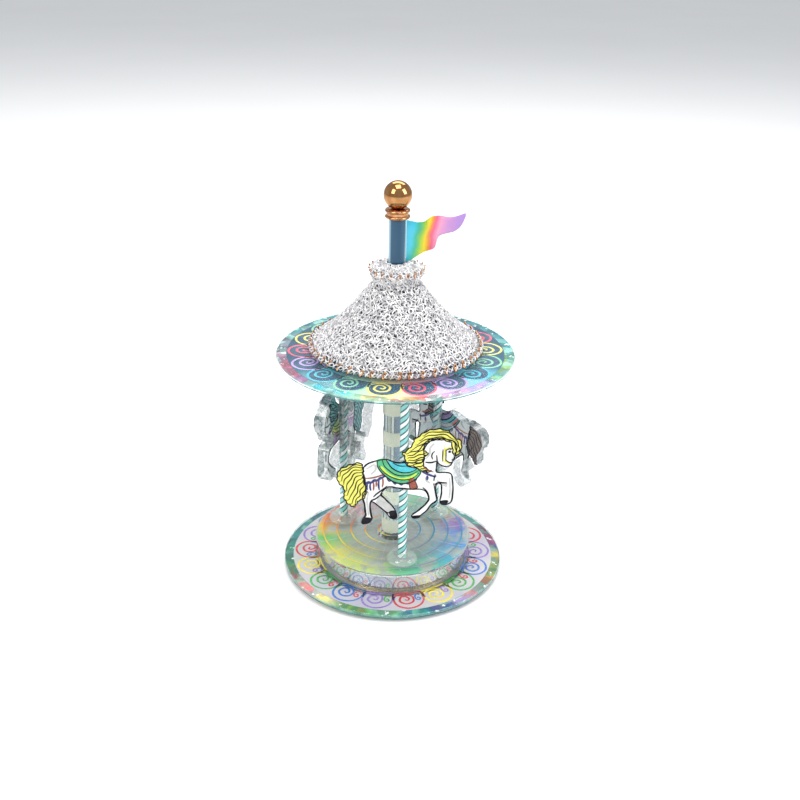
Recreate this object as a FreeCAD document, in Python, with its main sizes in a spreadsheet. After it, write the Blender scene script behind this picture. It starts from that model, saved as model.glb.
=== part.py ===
import FreeCAD, Part
import math
import os
import re

import Sketcher

# Carousel music box: a bevelled glass base with a round drum, a turning floor that carries three
# flat acrylic horses on their poles, a glass centre column, a bevelled glass roof disc, a spun-glass
# tent, and a flag pole with a pennant and a gilt ball.  An 18-note movement sits in the drum.
#
# Frame: +Z up, origin on the surface the box stands on, on the carousel's turning axis.
# Lengths are millimetres.  Each size is one cell of the sheet; what fits to it is worked out from it.

document = FreeCAD.newDocument("CarouselMusicBox")
sheet = document.addObject("Spreadsheet::Sheet", "Sizes")

SIZES = [
    # the base
    ("base_radius", 62.5, "outside of the bevelled base disc"),
    ("base_thickness", 5.5, "thickness of the base disc"),
    ("base_edge", 2.5, "height of the upright edge below the base bevel"),
    ("base_bevel", 7.0, "width of the base disc's bevel"),
    ("base_hole", 38.0, "radius of the hole that takes the movement"),
    ("bumper_height", 2.0, "height of the clear bumper feet"),
    ("bumper_radius", 4.5, "radius of one bumper foot"),
    ("bumper_circle", 52.0, "circle that the bumper feet stand on"),
    ("cover_radius", 46.0, "bottom cover plate"),
    ("cover_thickness", 1.2, "bottom cover plate"),
    ("well_radius", 16.2, "round well that the folded key lies in"),
    ("well_depth", 0.4, "how far the well goes up into the movement bed"),
    # the drum
    ("drum_radius", 44.8, "outside of the drum and of the turning floor"),
    ("drum_height", 12.0, "from the base disc's top to the floor's top"),
    ("drum_wall_thickness", 3.0, "glass wall of the drum"),
    ("liner_thickness", 0.6, "mirrored sleeve inside the drum wall"),
    ("liner_gap", 0.3, "between the drum wall and its liner"),
    ("floor_thickness", 2.5, "glass floor plate"),
    ("floor_chamfer", 0.4, "ground edge of the floor plate"),
    ("mirror_thickness", 0.8, "mirror under the glass floor"),
    ("mirror_inset", 0.4, "how far the mirror stays inside the floor's edge"),
    ("turning_gap", 0.4, "air between the still drum and the turning floor"),
    # the carousel above the floor
    ("column_height", 109.7, "from the floor's top to the roof disc"),
    ("column_radius", 8.0, "glass centre column"),
    ("column_wall", 1.5, "wall of the glass centre column"),
    ("core_gap", 0.1, "between the column and its banded core"),
    ("core_wall", 1.0, "wall of the banded core"),
    ("roof_radius", 63.5, "bevelled roof disc"),
    ("roof_thickness", 5.0, "bevelled roof disc"),
    ("roof_edge", 2.5, "height of the upright edge below the roof bevel"),
    ("roof_bevel", 7.0, "width of the roof disc's bevel"),
    # the horses
    ("horse_circle", 31.0, "circle that the horse poles stand on"),
    ("horse_front_angle", 280.0, "where the front horse stands about the axis, in degrees"),
    ("horse_right_angle", 38.0, "where the right-hand horse stands"),
    ("horse_left_angle", 158.0, "where the left-hand horse stands"),
    ("horse_right_lift", 4.5, "how much higher the right-hand horse is fixed"),
    ("horse_left_lift", 4.5, "how much higher the left-hand horse is fixed"),
    ("horse_right_yaw", 7.0, "turn of the right-hand horse about its pole, in degrees"),
    ("horse_length", 67.0, "tail to nose of one horse"),
    ("horse_thickness", 6.4, "clear plate that a horse is cut from"),
    ("horse_clearance", 24.2, "floor to the hooves of the front horse"),
    ("pole_radius", 2.4, "round glass pole that runs through a horse"),
    ("pole_foot_radius", 8.5, "clear domed foot under a pole"),
    ("pole_foot_height", 5.0, "clear domed foot under a pole"),
    ("pole_seat_depth", 3.5, "how deep a pole sits in its foot"),
    ("glue_gap", 0.05, "glue round a pole, in its foot and in its horse"),
    # the tent and finial
    ("tent_radius", 43.6, "outside of the tent at the roof disc"),
    ("tent_skirt", 2.5, "upright skirt at the foot of the tent"),
    ("tent_waist_radius", 26.5, "tent half way up, where it curves in"),
    ("tent_waist_height", 18.5, "height of that waist over the roof disc"),
    ("tent_neck_radius", 13.2, "outside of the tent at its neck"),
    ("tent_height", 34.8, "roof disc to the tent's neck"),
    ("tent_wall", 3.0, "thickness of the spun-glass lace"),
    ("rim_circle", 45.4, "circle of the gilt rim"),
    ("rim_radius", 1.6, "section of the gilt rim"),
    ("collar_radius", 15.1, "widest part of the ruffled collar"),
    ("collar_foot_radius", 13.0, "collar where it sits on the neck"),
    ("collar_height", 13.5, "ruffled collar"),
    ("collar_wall", 3.6, "thickness of the collar's lace"),
    ("flag_pole_radius", 4.5, "glass flag pole"),
    ("flag_pole_wall", 1.2, "wall of the flag pole"),
    ("flag_pole_height", 69.2, "roof disc to the finial ring"),
    ("flag_length", 31.0, "pole to the tip of the pennant"),
    ("flag_root_height", 22.5, "height of the pennant where it meets the pole"),
    ("flag_drop", 1.0, "pole top to the top of the pennant"),
    ("flag_thickness", 1.8, "fused glass pennant"),
    ("finial_ring_radius", 6.5, "gilt ring on the flag pole"),
    ("finial_ring_height", 5.0, "gilt ring on the flag pole"),
    ("finial_ring_bore", 2.6, "hole that the ball sits on"),
    ("finial_ball_radius", 7.3, "gilt ball"),
    # the movement
    ("bed_radius", 37.5, "round bed plate of the movement"),
    ("bed_thickness", 2.0, "round bed plate of the movement"),
    ("screw_radius", 1.0, "shank of the bed screws"),
    ("screw_head_radius", 2.0, "head of the bed screws"),
    ("screw_head_height", 0.7, "head of the bed screws"),
    ("screw_circle", 27.0, "circle of the bed screws"),
    ("small_screw_radius", 0.6, "shank of the screws inside the movement"),
    ("small_head_radius", 1.05, "head of the screws inside the movement"),
    ("small_head_height", 0.5, "head of the screws inside the movement"),
    ("running_gap", 0.05, "radial clearance of every running fit"),
    ("end_gap", 0.1, "end play of every arbor"),
    ("arbor_radius", 2.0, "winding arbor in the bed and in the barrel"),
    ("arbor_drum_radius", 2.6, "part of the arbor that the clutch spring grips"),
    ("arbor_core_radius", 3.0, "part of the arbor that the mainspring hooks on"),
    ("arbor_pivot_radius", 1.5, "upper pivot and lower spigot of the arbor"),
    ("clutch_wire", 0.5, "wire of the clutch spring"),
    ("barrel_radius", 13.0, "outside of the spring barrel"),
    ("barrel_wall", 1.0, "wall and floor of the spring barrel"),
    ("barrel_height", 7.4, "spring barrel without its lid"),
    ("lid_thickness", 1.0, "lid of the spring barrel"),
    ("mainspring_strip", 0.25, "thickness of the mainspring"),
    ("mainspring_pitch", 0.9, "coil to coil of the run-down mainspring"),
    ("hub_radius", 9.0, "hub that carries the turntable"),
    ("hub_height", 1.2, "hub, from the barrel's lid to the turntable"),
    ("hub_screw_circle", 6.0, "circle of the hub screws"),
    ("turntable_radius", 34.0, "metal plate under the floor"),
    ("turntable_thickness", 0.8, "metal plate under the floor"),
    ("crown_teeth", 45, "teeth round the barrel's flange"),
    ("crown_radius", 14.75, "middle of the crown teeth"),
    ("crown_face", 2.4, "length of the crown teeth"),
    ("crown_tooth_height", 1.0, "depth of the crown teeth"),
    ("crown_tooth_width", 0.5, "thickness of the crown teeth"),
    ("flange_thickness", 1.0, "flange that carries the crown teeth"),
    ("pinion_teeth", 9, "pinion on the tune cylinder's arbor"),
    ("addendum", 0.4, "crown pinion: pitch circle to tooth tip"),
    ("dedendum", 0.6, "crown pinion: pitch circle to tooth root"),
    ("pinion_tooth_width", 0.5, "crown pinion: thickness at the pitch circle"),
    ("cylinder_radius", 4.0, "tune cylinder"),
    ("cylinder_length", 12.0, "tune cylinder"),
    ("cylinder_start", 18.4, "axis of the carousel to the tune cylinder's near end"),
    ("pin_height", 0.3, "tune pins above the cylinder"),
    ("pin_radius", 0.13, "tune pins"),
    ("note_count", 18, "notes of the comb"),
    ("cylinder_arbor_radius", 0.9, "arbor of the tune cylinder"),
    ("bearing_thickness", 0.8, "upright bearing plates"),
    ("bearing_half_width", 3.5, "upright bearing plates"),
    ("wheel_teeth", 24, "wheel at the far end of the tune cylinder"),
    ("wheel_radius", 3.9, "pitch radius of that wheel"),
    ("governor_teeth", 6, "pinion of the governor arbor"),
    ("fine_addendum", 0.3, "fine gears: pitch circle to tooth tip"),
    ("fine_dedendum", 0.45, "fine gears: pitch circle to tooth root"),
    ("fine_tooth_width", 0.28, "fine gears: thickness at the pitch circle"),
    ("governor_arbor_radius", 0.6, "arbor of the governor"),
    ("worm_wheel_teeth", 16, "worm wheel"),
    ("worm_wheel_radius", 2.6, "pitch radius of the worm wheel"),
    ("worm_radius", 1.0, "pitch radius of the worm"),
    ("worm_core", 0.6, "root radius of the worm"),
    ("worm_length", 3.6, "threaded length of the worm"),
    ("worm_pivot", 0.4, "pivots of the worm"),
    ("brake_radius", 2.4, "air brake, from the worm's axis to a blade's tip"),
    ("brake_height", 1.8, "air brake blades"),
    ("frame_arm", 0.9, "thickness of the governor frame's arms"),
    ("comb_tip_gap", 0.15, "tune pins to the comb's tips"),
    ("comb_thickness", 0.8, "steel comb"),
    ("comb_tooth_length", 8.0, "teeth of the comb"),
    ("comb_base_depth", 5.0, "solid back of the comb"),
    # the folding key
    ("key_boss_radius", 3.0, "boss that the key ring hangs on"),
    ("key_boss_height", 1.6, "boss that the key ring hangs on"),
    ("key_pin_radius", 0.4, "trunnions of the key ring"),
    ("key_ring_thickness", 1.5, "folding key ring"),
    ("key_ring_width", 1.2, "width of the ring's wire"),
    ("key_ring_reach", 13.4, "turning axis to the end of the key ring"),
    ("key_ring_gap", 0.2, "between the boss and the ring's ears"),
    ("key_table_gap", 0.75, "folded key ring above the table"),
]

LEVELS = {
    # heights of the fixed stack
    "cover_bottom": "bumper_height - cover_thickness",
    "base_top": "bumper_height + base_thickness",
    "bed_top": "bumper_height + bed_thickness",
    "well_top": "bumper_height + well_depth",
    "floor_top": "base_top + drum_height",
    "floor_bottom": "floor_top - floor_thickness",
    "mirror_bottom": "floor_bottom - mirror_thickness",
    "wall_top": "mirror_bottom - turning_gap",
    "turntable_bottom": "mirror_bottom - turntable_thickness",
    "liner_radius": "drum_radius - drum_wall_thickness - liner_gap",
    # heights above the floor
    "roof_bottom": "floor_top + column_height",
    "roof_top": "roof_bottom + roof_thickness",
    "neck_height": "roof_top + tent_height",
    "ring_bottom": "roof_top + flag_pole_height",
    "ring_top": "ring_bottom + finial_ring_height",
    # spring barrel, built down from the turntable's hub
    "lid_bottom": "turntable_bottom - hub_height - lid_thickness",
    "barrel_bottom": "lid_bottom - barrel_height",
    "flange_bottom": "lid_bottom - flange_thickness",
    # gear train
    "pinion_radius": "crown_radius * pinion_teeth / crown_teeth",
    "tune_axis": "flange_bottom - turning_gap / 2 - pinion_radius - addendum",
    "cylinder_end": "cylinder_start + cylinder_length",
    "wheel_start": "cylinder_end + 0.3",
    "outer_bearing": "wheel_start + 2 * bearing_thickness - 0.4",
    "governor_radius": "wheel_radius * governor_teeth / wheel_teeth",
    "governor_axis": "wheel_radius + governor_radius",
    "worm_wheel_start": "outer_bearing + bearing_thickness + 0.7",
    "worm_x": "worm_wheel_start + bearing_thickness / 2",
    "worm_y": "governor_axis + worm_wheel_radius + worm_radius",
    "frame_upright": "worm_x + 1.4",
    "frame_top": "turntable_bottom - 0.5",
    "comb_bottom": "tune_axis - 0.35",
    "comb_tip": "cylinder_radius + pin_height + comb_tip_gap",
    "comb_back": "comb_tip + comb_tooth_length + comb_base_depth",
    "comb_screw_y": "comb_back - comb_base_depth / 2",
    # key
    "key_axis": "key_table_gap + key_ring_thickness / 2",
    "key_ear": "key_boss_radius + key_ring_gap",
}


def fill_sheet():
    for row, (alias, amount, meaning) in enumerate(SIZES, start=1):
        sheet.set("A%d" % row, alias)
        sheet.set("B%d" % row, str(amount))
        sheet.setAlias("B%d" % row, alias)
        sheet.set("C%d" % row, meaning)
    document.recompute()


fill_sheet()
size_names = {alias for alias, amount, meaning in SIZES}
levels = document.addObject("App::VarSet", "Levels")


def referenced(text):
    """The text of a formula with every size and level written as a reference to its cell."""
    def replace(match):
        word = match.group(0)
        if word in size_names:
            return "Sizes." + word
        if word in LEVELS:
            return "Levels." + word
        return word
    return re.sub(r"[a-z_]+", replace, text)


def bind(thing, prop, text):
    thing.setExpression(prop, referenced(text))


for level_name, level_text in LEVELS.items():
    levels.addProperty("App::PropertyFloat", level_name, "Base")
    bind(levels, level_name, level_text)
document.recompute()


def value(name):
    """A size or level as a number, for the pieces whose shape is worked out in code."""
    if name in LEVELS:
        return float(getattr(levels, name))
    return float(sheet.get(name))


# ---- making solids -------------------------------------------------------------------------------

nodes = []


def node(piece, label):
    piece.Label = label
    nodes.append(piece)
    return piece


def place(piece, x="0", y="0", z="0", turn=None):
    if turn is not None:
        axis, angle = turn
        piece.Placement = FreeCAD.Placement(FreeCAD.Vector(), FreeCAD.Rotation(axis, angle))
    for letter, text in (("x", x), ("y", y), ("z", z)):
        bind(piece, "Placement.Base." + letter, text)


X_AXIS = FreeCAD.Vector(1, 0, 0)
Y_AXIS = FreeCAD.Vector(0, 1, 0)
Z_AXIS = FreeCAD.Vector(0, 0, 1)
TURNS = {"x": (Y_AXIS, 90), "y": (X_AXIS, -90), "z": None}


def rod(name, radius, length, x="0", y="0", z="0", along="z"):
    piece = document.addObject("Part::Cylinder", name)
    bind(piece, "Radius", radius)
    bind(piece, "Height", length)
    place(piece, x, y, z, TURNS[along])
    return piece


def block(name, length, width, height, x="0", y="0", z="0"):
    piece = document.addObject("Part::Box", name)
    bind(piece, "Length", length)
    bind(piece, "Width", width)
    bind(piece, "Height", height)
    place(piece, x, y, z)
    return piece


def cut(name, base, tool):
    piece = document.addObject("Part::Cut", name)
    piece.Base = base
    piece.Tool = tool
    return piece


def fuse(name, pieces):
    piece = document.addObject("Part::MultiFuse", name)
    piece.Shapes = pieces
    return piece


def group(name, pieces):
    piece = document.addObject("Part::Compound", name)
    piece.Links = pieces
    return piece


def new_body(name):
    return document.addObject("PartDesign::Body", name)


def new_sketch(body, name, role="XY_Plane", offset="0"):
    sketch = body.newObject("Sketcher::SketchObject", name)
    for plane in body.Origin.OriginFeatures:
        if plane.Role == role:
            sketch.AttachmentSupport = [(plane, "")]
    sketch.MapMode = "FlatFace"
    bind(sketch, "AttachmentOffset.Base.z", offset)
    return sketch


ORIGIN = -1
UPRIGHT = -2


def hold_point(sketch, geometry, corner, x, y):
    """Ties one point of the sketch to two formulas, measured from the sketch's origin."""
    for kind, line, text in (("DistanceX", UPRIGHT, x), ("DistanceY", ORIGIN, y)):
        if text == "0":
            sketch.addConstraint(Sketcher.Constraint("PointOnObject", geometry, corner, line))
        else:
            rule = Sketcher.Constraint(kind, ORIGIN, 1, geometry, corner, 1.0)
            index = sketch.addConstraint(rule)
            bind(sketch, "Constraints[%d]" % index, text)


def draw_polygon(sketch, corners):
    count = len(corners)
    first = sketch.GeometryCount
    start = [FreeCAD.Vector(math.cos(math.tau * k / count), math.sin(math.tau * k / count), 0)
             for k in range(count)]
    for k in range(count):
        sketch.addGeometry(Part.LineSegment(start[k], start[(k + 1) % count]), False)
    for k in range(count):
        following = first + (k + 1) % count
        sketch.addConstraint(Sketcher.Constraint("Coincident", first + k, 2, following, 1))
    for k, (x, y) in enumerate(corners):
        hold_point(sketch, first + k, 1, x, y)


def draw_circle(sketch, radius, x="0", y="0"):
    circle = Part.Circle(FreeCAD.Vector(0.5, 0.5, 0), Z_AXIS, 1.0)
    index = sketch.addGeometry(circle, False)
    rule = sketch.addConstraint(Sketcher.Constraint("Radius", index, 1.0))
    bind(sketch, "Constraints[%d]" % rule, radius)
    if (x, y) == ("0", "0"):
        sketch.addConstraint(Sketcher.Constraint("Coincident", index, 3, ORIGIN, 1))
    else:
        hold_point(sketch, index, 3, x, y)


def turned(name, outline):
    """A turned piece: an outline of (radius, height) corners turned about its upright axis."""
    body = new_body(name)
    sketch = new_sketch(body, name + "_outline", "XZ_Plane")
    draw_polygon(sketch, outline)
    revolution = body.newObject("PartDesign::Revolution", name + "_turn")
    revolution.Profile = sketch
    revolution.ReferenceAxis = (sketch, ["V_Axis"])
    revolution.Angle = 360
    return body


def padded(body, name, sketch, length, reverse=False):
    pad = body.newObject("PartDesign::Pad", name)
    pad.Profile = sketch
    pad.Reversed = reverse
    bind(pad, "Length", length)
    return pad


def repeated(body, name, tooth, sketch, count):
    pattern = body.newObject("PartDesign::PolarPattern", name)
    pattern.Originals = [tooth]
    pattern.Axis = (sketch, ["N_Axis"])
    pattern.Angle = 360
    bind(pattern, "Occurrences", count)
    body.Tip = pattern
    return pattern


def gear(name, role, teeth, root, tip, tooth_width, bore, face):
    """A flat gear: a bored disc with one tooth repeated round it, the first along the sketch's x."""
    body = new_body(name)
    disc = new_sketch(body, name + "_disc", role)
    draw_circle(disc, root)
    draw_circle(disc, bore)
    padded(body, name + "_blank", disc, face)
    tooth = new_sketch(body, name + "_tooth", role)
    heel = "(%s + %s) / 2" % (root, bore)
    draw_polygon(tooth, [(heel, "-0.6 * " + tooth_width), (tip, "-0.3 * " + tooth_width),
                         (tip, "0.3 * " + tooth_width), (heel, "0.6 * " + tooth_width)])
    one = padded(body, name + "_one_tooth", tooth, face)
    repeated(body, name + "_teeth", one, tooth, teeth)
    return body


def screws(name, spots, head_radius, head_height, shank_radius, shank_length, seat, head_up=True):
    """Separate cheese-head screws at (x, y) spots; seat is the height that the heads bear on."""
    pieces = []
    for number, (x, y) in enumerate(spots, start=1):
        tag = "%s_%d" % (name, number)
        head_foot = seat if head_up else "%s - %s" % (seat, head_height)
        shank_foot = "%s - (%s)" % (seat, shank_length) if head_up else seat
        head = rod(tag + "_head", head_radius, head_height, x, y, head_foot)
        shank = rod(tag + "_shank", shank_radius, shank_length, x, y, shank_foot)
        pieces.append(fuse(tag, [head, shank]))
    return group(name, pieces)


def on_circle(radius, degrees):
    return ("%s * cos(%g deg)" % (radius, degrees), "%s * sin(%g deg)" % (radius, degrees))


def feature(name, shape, placement=None):
    """A piece whose shape is worked out from the sheet in code."""
    piece = document.addObject("Part::Feature", name)
    piece.Shape = shape
    if placement is not None:
        piece.Placement = placement
    return piece


def curve(points):
    """One smooth edge through a few points."""
    spline = Part.BSplineCurve()
    spline.interpolate([FreeCAD.Vector(*point) for point in points])
    return spline.toShape()


# ---- base and drum -------------------------------------------------------------------------------

def make_base():
    feet = []
    for degrees in (45, 135, 225, 315):
        foot = turned("bumper_foot_%d" % degrees, [
            ("0", "0"), ("bumper_radius - 0.5", "0"), ("bumper_radius", "0.5"),
            ("bumper_radius - 0.8", "bumper_height"), ("0", "bumper_height")])
        place(foot, *on_circle("bumper_circle", degrees))
        feet.append(foot)
    node(group("bumper_feet_set", feet), "bumper_feet")

    disc = turned("base_disc", [("base_hole", "0"), ("base_radius", "0"), ("base_radius", "base_edge"),
                                ("base_radius - base_bevel", "base_thickness"),
                                ("base_hole", "base_thickness")])
    place(disc, z="bumper_height")
    node(disc, "base_disc")

    cover = new_body("base_cover")
    sketch = new_sketch(cover, "base_cover_outline")
    draw_circle(sketch, "cover_radius")
    draw_circle(sketch, "well_radius")
    for spot in bed_screw_spots():
        draw_circle(sketch, "screw_radius + 0.1", *spot)
    padded(cover, "base_cover_pad", sketch, "cover_thickness")
    place(cover, z="cover_bottom")
    node(cover, "base_cover")

    wall = turned("drum_wall", [("drum_radius - drum_wall_thickness", "base_top"),
                                ("drum_radius", "base_top"), ("drum_radius", "wall_top"),
                                ("drum_radius - drum_wall_thickness", "wall_top")])
    node(wall, "drum_wall")

    liner = turned("drum_liner", [("liner_radius - liner_thickness", "base_top"),
                                  ("liner_radius", "base_top"), ("liner_radius", "wall_top - 0.2"),
                                  ("liner_radius - liner_thickness", "wall_top - 0.2")])
    node(liner, "drum_liner")


# ---- movement: bed, bearings, comb, governor frame -----------------------------------------------

def bed_screw_spots():
    return [on_circle("screw_circle", degrees) for degrees in (90, 210, 330)]


def bearing_screw_spots():
    inner = [("cylinder_start - 3.2", "2.4"), ("cylinder_start - 3.2", "-2.4")]
    outer = [("outer_bearing + 2.2", "-2.2"), ("outer_bearing + 2.2", "0.2")]
    return inner + outer


def comb_screw_spots():
    middle = "cylinder_start + cylinder_length / 2"
    return [(middle + " + %g" % shift, "-comb_screw_y") for shift in (-4, 0, 4)]


def make_bed():
    bed = new_body("movement_bed")
    sketch = new_sketch(bed, "bed_outline")
    draw_circle(sketch, "bed_radius")
    draw_circle(sketch, "arbor_radius + running_gap")
    for spot in bed_screw_spots():
        draw_circle(sketch, "screw_radius", *spot)
    for spot in bearing_screw_spots() + comb_screw_spots():
        draw_circle(sketch, "small_screw_radius", *spot)
    padded(bed, "bed_pad", sketch, "bed_thickness")
    well = new_sketch(bed, "bed_well")
    draw_circle(well, "well_radius")
    pocket = bed.newObject("PartDesign::Pocket", "bed_well_pocket")
    pocket.Profile = well
    pocket.Reversed = True
    bind(pocket, "Length", "well_depth")
    place(bed, z="bumper_height")
    node(bed, "movement_bed")

    node(screws("bed_screws", bed_screw_spots(), "screw_head_radius", "screw_head_height", "screw_radius",
                "cover_thickness + bed_thickness", "cover_bottom", head_up=False), "bed_screws")


def make_bearings():
    """Two upright plates that carry the tune cylinder; the outer one carries the governor arbor too."""
    top = "tune_axis + 2 - bed_top"
    inner_plate = block("inner_plate", "bearing_thickness", "2 * bearing_half_width", top,
                        "cylinder_start - 1.5", "-bearing_half_width", "bed_top")
    inner_foot = block("inner_foot", "3.2", "2 * bearing_half_width", "bearing_thickness",
                       "cylinder_start - 4.4", "-bearing_half_width", "bed_top")
    inner_holes = [rod("inner_bore", "cylinder_arbor_radius + running_gap", "3", "cylinder_start - 2.5",
                       "0", "tune_axis", "x")]
    inner_holes += [rod("inner_hole_%d" % k, "small_screw_radius", "2", x, y, "bed_top - 0.5")
                    for k, (x, y) in enumerate(bearing_screw_spots()[:2])]
    node(cut("inner_bearing", fuse("inner_solid", [inner_plate, inner_foot]),
             fuse("inner_holes", inner_holes)), "inner_bearing")

    outer_plate = block("outer_plate", "bearing_thickness", "bearing_half_width + governor_axis + 2.2", top,
                        "outer_bearing", "-bearing_half_width", "bed_top")
    outer_foot = block("outer_foot", "3.3", "bearing_half_width + 1.6", "bearing_thickness",
                       "outer_bearing", "-bearing_half_width", "bed_top")
    outer_holes = [rod("outer_bore", "cylinder_arbor_radius + running_gap", "3", "outer_bearing - 1",
                       "0", "tune_axis", "x"),
                   rod("outer_governor_bore", "governor_arbor_radius + running_gap", "3",
                       "outer_bearing - 1", "governor_axis", "tune_axis", "x")]
    outer_holes += [rod("outer_hole_%d" % k, "small_screw_radius", "2", x, y, "bed_top - 0.5")
                    for k, (x, y) in enumerate(bearing_screw_spots()[2:])]
    node(cut("outer_bearing_plate", fuse("outer_solid", [outer_plate, outer_foot]),
             fuse("outer_holes", outer_holes)), "outer_bearing")

    node(screws("bearing_screws", bearing_screw_spots(), "small_head_radius", "small_head_height",
                "small_screw_radius", "bearing_thickness + 1.2", "bed_top + bearing_thickness"),
         "bearing_screws")


def make_comb():
    start = "cylinder_start + 0.2"
    length = "cylinder_length - 0.4"
    post = block("comb_post", length, "comb_base_depth", "comb_bottom - bed_top", start, "-comb_back",
                 "bed_top")
    post_holes = [rod("comb_post_hole_%d" % k, "small_screw_radius", "comb_bottom", x, y, "bed_top - 1")
                  for k, (x, y) in enumerate(comb_screw_spots())]
    node(cut("comb_block", post, fuse("comb_post_holes", post_holes)), "comb_block")

    comb = new_body("comb")
    sketch = new_sketch(comb, "comb_outline")
    pitch = "(cylinder_length - 0.4) / note_count"
    corners = [("0", "0"), (length, "0")]
    notes = int(value("note_count"))
    for note in range(notes, 0, -1):
        # each tooth: its right flank, its tip and its left flank, with a slot before the next
        right = "%d * %s" % (note, pitch)
        left = "%d * %s + 0.3 * %s" % (note - 1, pitch, pitch)
        corners += [(right, "comb_base_depth"), (right, "comb_base_depth + comb_tooth_length")]
        corners += [(left, "comb_base_depth + comb_tooth_length"), (left, "comb_base_depth")]
    corners[2:3] = []
    corners.append(("0", "comb_base_depth"))
    draw_polygon(sketch, corners)
    for x, y in comb_screw_spots():
        draw_circle(sketch, "small_screw_radius", "(%s) - (%s)" % (x, start), "comb_base_depth / 2")
    padded(comb, "comb_pad", sketch, "comb_thickness")
    place(comb, start, "-comb_back", "comb_bottom")
    node(comb, "comb")

    node(screws("comb_screws", comb_screw_spots(), "small_head_radius", "small_head_height",
                "small_screw_radius", "comb_bottom + comb_thickness - bed_top + 1",
                "comb_bottom + comb_thickness"), "comb_screws")


def make_governor_frame():
    """A C-shaped frame: the upright carries the governor arbor's end, the arms carry the worm."""
    x = "frame_upright"
    reach = "frame_upright - worm_x + 1"
    width = "worm_y - governor_axis + 2.8"
    upright = block("frame_post", "bearing_thickness", "2.6", "frame_top - bed_top", x,
                    "governor_axis - 1.3", "bed_top")
    arms = [block("frame_arm_%d" % k, reach + " + bearing_thickness", width, "frame_arm",
                  "worm_x - 1", "governor_axis - 1.3", z)
            for k, z in enumerate(("bed_top", "frame_top - frame_arm"))]
    bores = [rod("frame_worm_bore", "worm_pivot + running_gap", "frame_top", "worm_x", "worm_y", "bed_top"),
             rod("frame_governor_bore", "governor_arbor_radius + running_gap", "3", x + " - 1",
                 "governor_axis", "tune_axis", "x")]
    node(cut("governor_frame", fuse("frame_solid", [upright] + arms), fuse("frame_bores", bores)),
         "governor_frame")


def make_clutch_spring():
    """Three closed coils of square wire, which grip the winding arbor's drum."""
    inner = "arbor_drum_radius + running_gap"
    coil_height = "(barrel_bottom - bed_top - 3 * running_gap) / 3"
    foot = "bed_top + running_gap"
    outline = [(inner, foot)]
    for turn in range(3):
        for share in (0.06, 0.94):
            outline.append((inner + " + clutch_wire", "%s + %g * %s" % (foot, turn + share, coil_height)))
        if turn < 2:
            outline.append((inner + " + 0.7 * clutch_wire",
                            "%s + %g * %s" % (foot, turn + 1, coil_height)))
    outline.append((inner, "%s + 3 * %s" % (foot, coil_height)))
    node(turned("clutch_spring", outline), "clutch_spring")


# ---- movement: what turns ------------------------------------------------------------------------

def make_winding_arbor():
    drum_top = "barrel_bottom - end_gap / 2"
    core_bottom = "barrel_bottom + barrel_wall + end_gap"
    core_top = "lid_bottom - end_gap"
    arbor = turned("winding_arbor", [
        ("0", "key_table_gap"), ("arbor_pivot_radius", "key_table_gap"),
        ("arbor_pivot_radius", "well_top"), ("arbor_radius", "well_top"),
        ("arbor_radius", "bed_top + end_gap / 2"), ("arbor_drum_radius", "bed_top + end_gap / 2"),
        ("arbor_drum_radius", drum_top), ("arbor_radius", drum_top),
        ("arbor_radius", core_bottom), ("arbor_core_radius", core_bottom),
        ("arbor_core_radius", core_top), ("arbor_pivot_radius", core_top),
        ("arbor_pivot_radius", "lid_bottom + lid_thickness - end_gap"),
        ("0", "lid_bottom + lid_thickness - end_gap")])
    node(arbor, "winding_arbor")


def make_key():
    boss = rod("key_boss_blank", "key_boss_radius", "key_boss_height", z="key_table_gap")
    spigot = rod("key_boss_bore", "arbor_pivot_radius", "key_boss_height + 2", z="key_table_gap - 1")
    trunnion_length = "key_ear + key_ring_width - arbor_pivot_radius - 0.3"
    ends = {"near": "-(key_ear + key_ring_width)", "far": "arbor_pivot_radius + 0.3"}
    bores = [rod("key_boss_%s_bore" % side, "key_pin_radius", trunnion_length, "0", y, "key_axis", "y")
             for side, y in ends.items()]
    node(cut("key_boss", boss, fuse("key_boss_bores", [spigot] + bores)), "key_boss")
    trunnions = [rod("key_trunnion_" + side, "key_pin_radius", trunnion_length, "0", y, "key_axis", "y")
                 for side, y in ends.items()]
    node(group("key_trunnions", trunnions), "key_trunnions")

    ring_radius = "key_ear + key_ring_width"
    straight = "key_ring_reach - key_ear - key_ring_width"
    low = "key_axis - key_ring_thickness / 2"
    outer = fuse("ring_outer", [
        rod("ring_outer_end", ring_radius, "key_ring_thickness", straight, "0", low),
        block("ring_outer_arms", straight, "2 * (%s)" % ring_radius, "key_ring_thickness",
              "0", "-(%s)" % ring_radius, low)])
    inner = fuse("ring_inner", [
        rod("ring_inner_end", "key_ear", "key_ring_thickness + 2", straight, "0", low + " - 1"),
        block("ring_inner_arms", straight + " + 3", "2 * key_ear", "key_ring_thickness + 2",
              "-3", "-key_ear", low + " - 1")])
    loop = cut("ring_loop", outer, inner)
    ears = [rod("ring_ear_" + side, "key_ring_thickness / 2", "key_ring_width", "0", y, "key_axis", "y")
            for side, y in (("near", "-(%s)" % ring_radius), ("far", "key_ear"))]
    bore = rod("ring_bore", "key_pin_radius + running_gap", "2 * (%s) + 2" % ring_radius, "0",
               "-(%s) - 1" % ring_radius, "key_axis", "y")
    node(cut("key_ring", fuse("ring_solid", [loop] + ears), bore), "key_ring")


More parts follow.
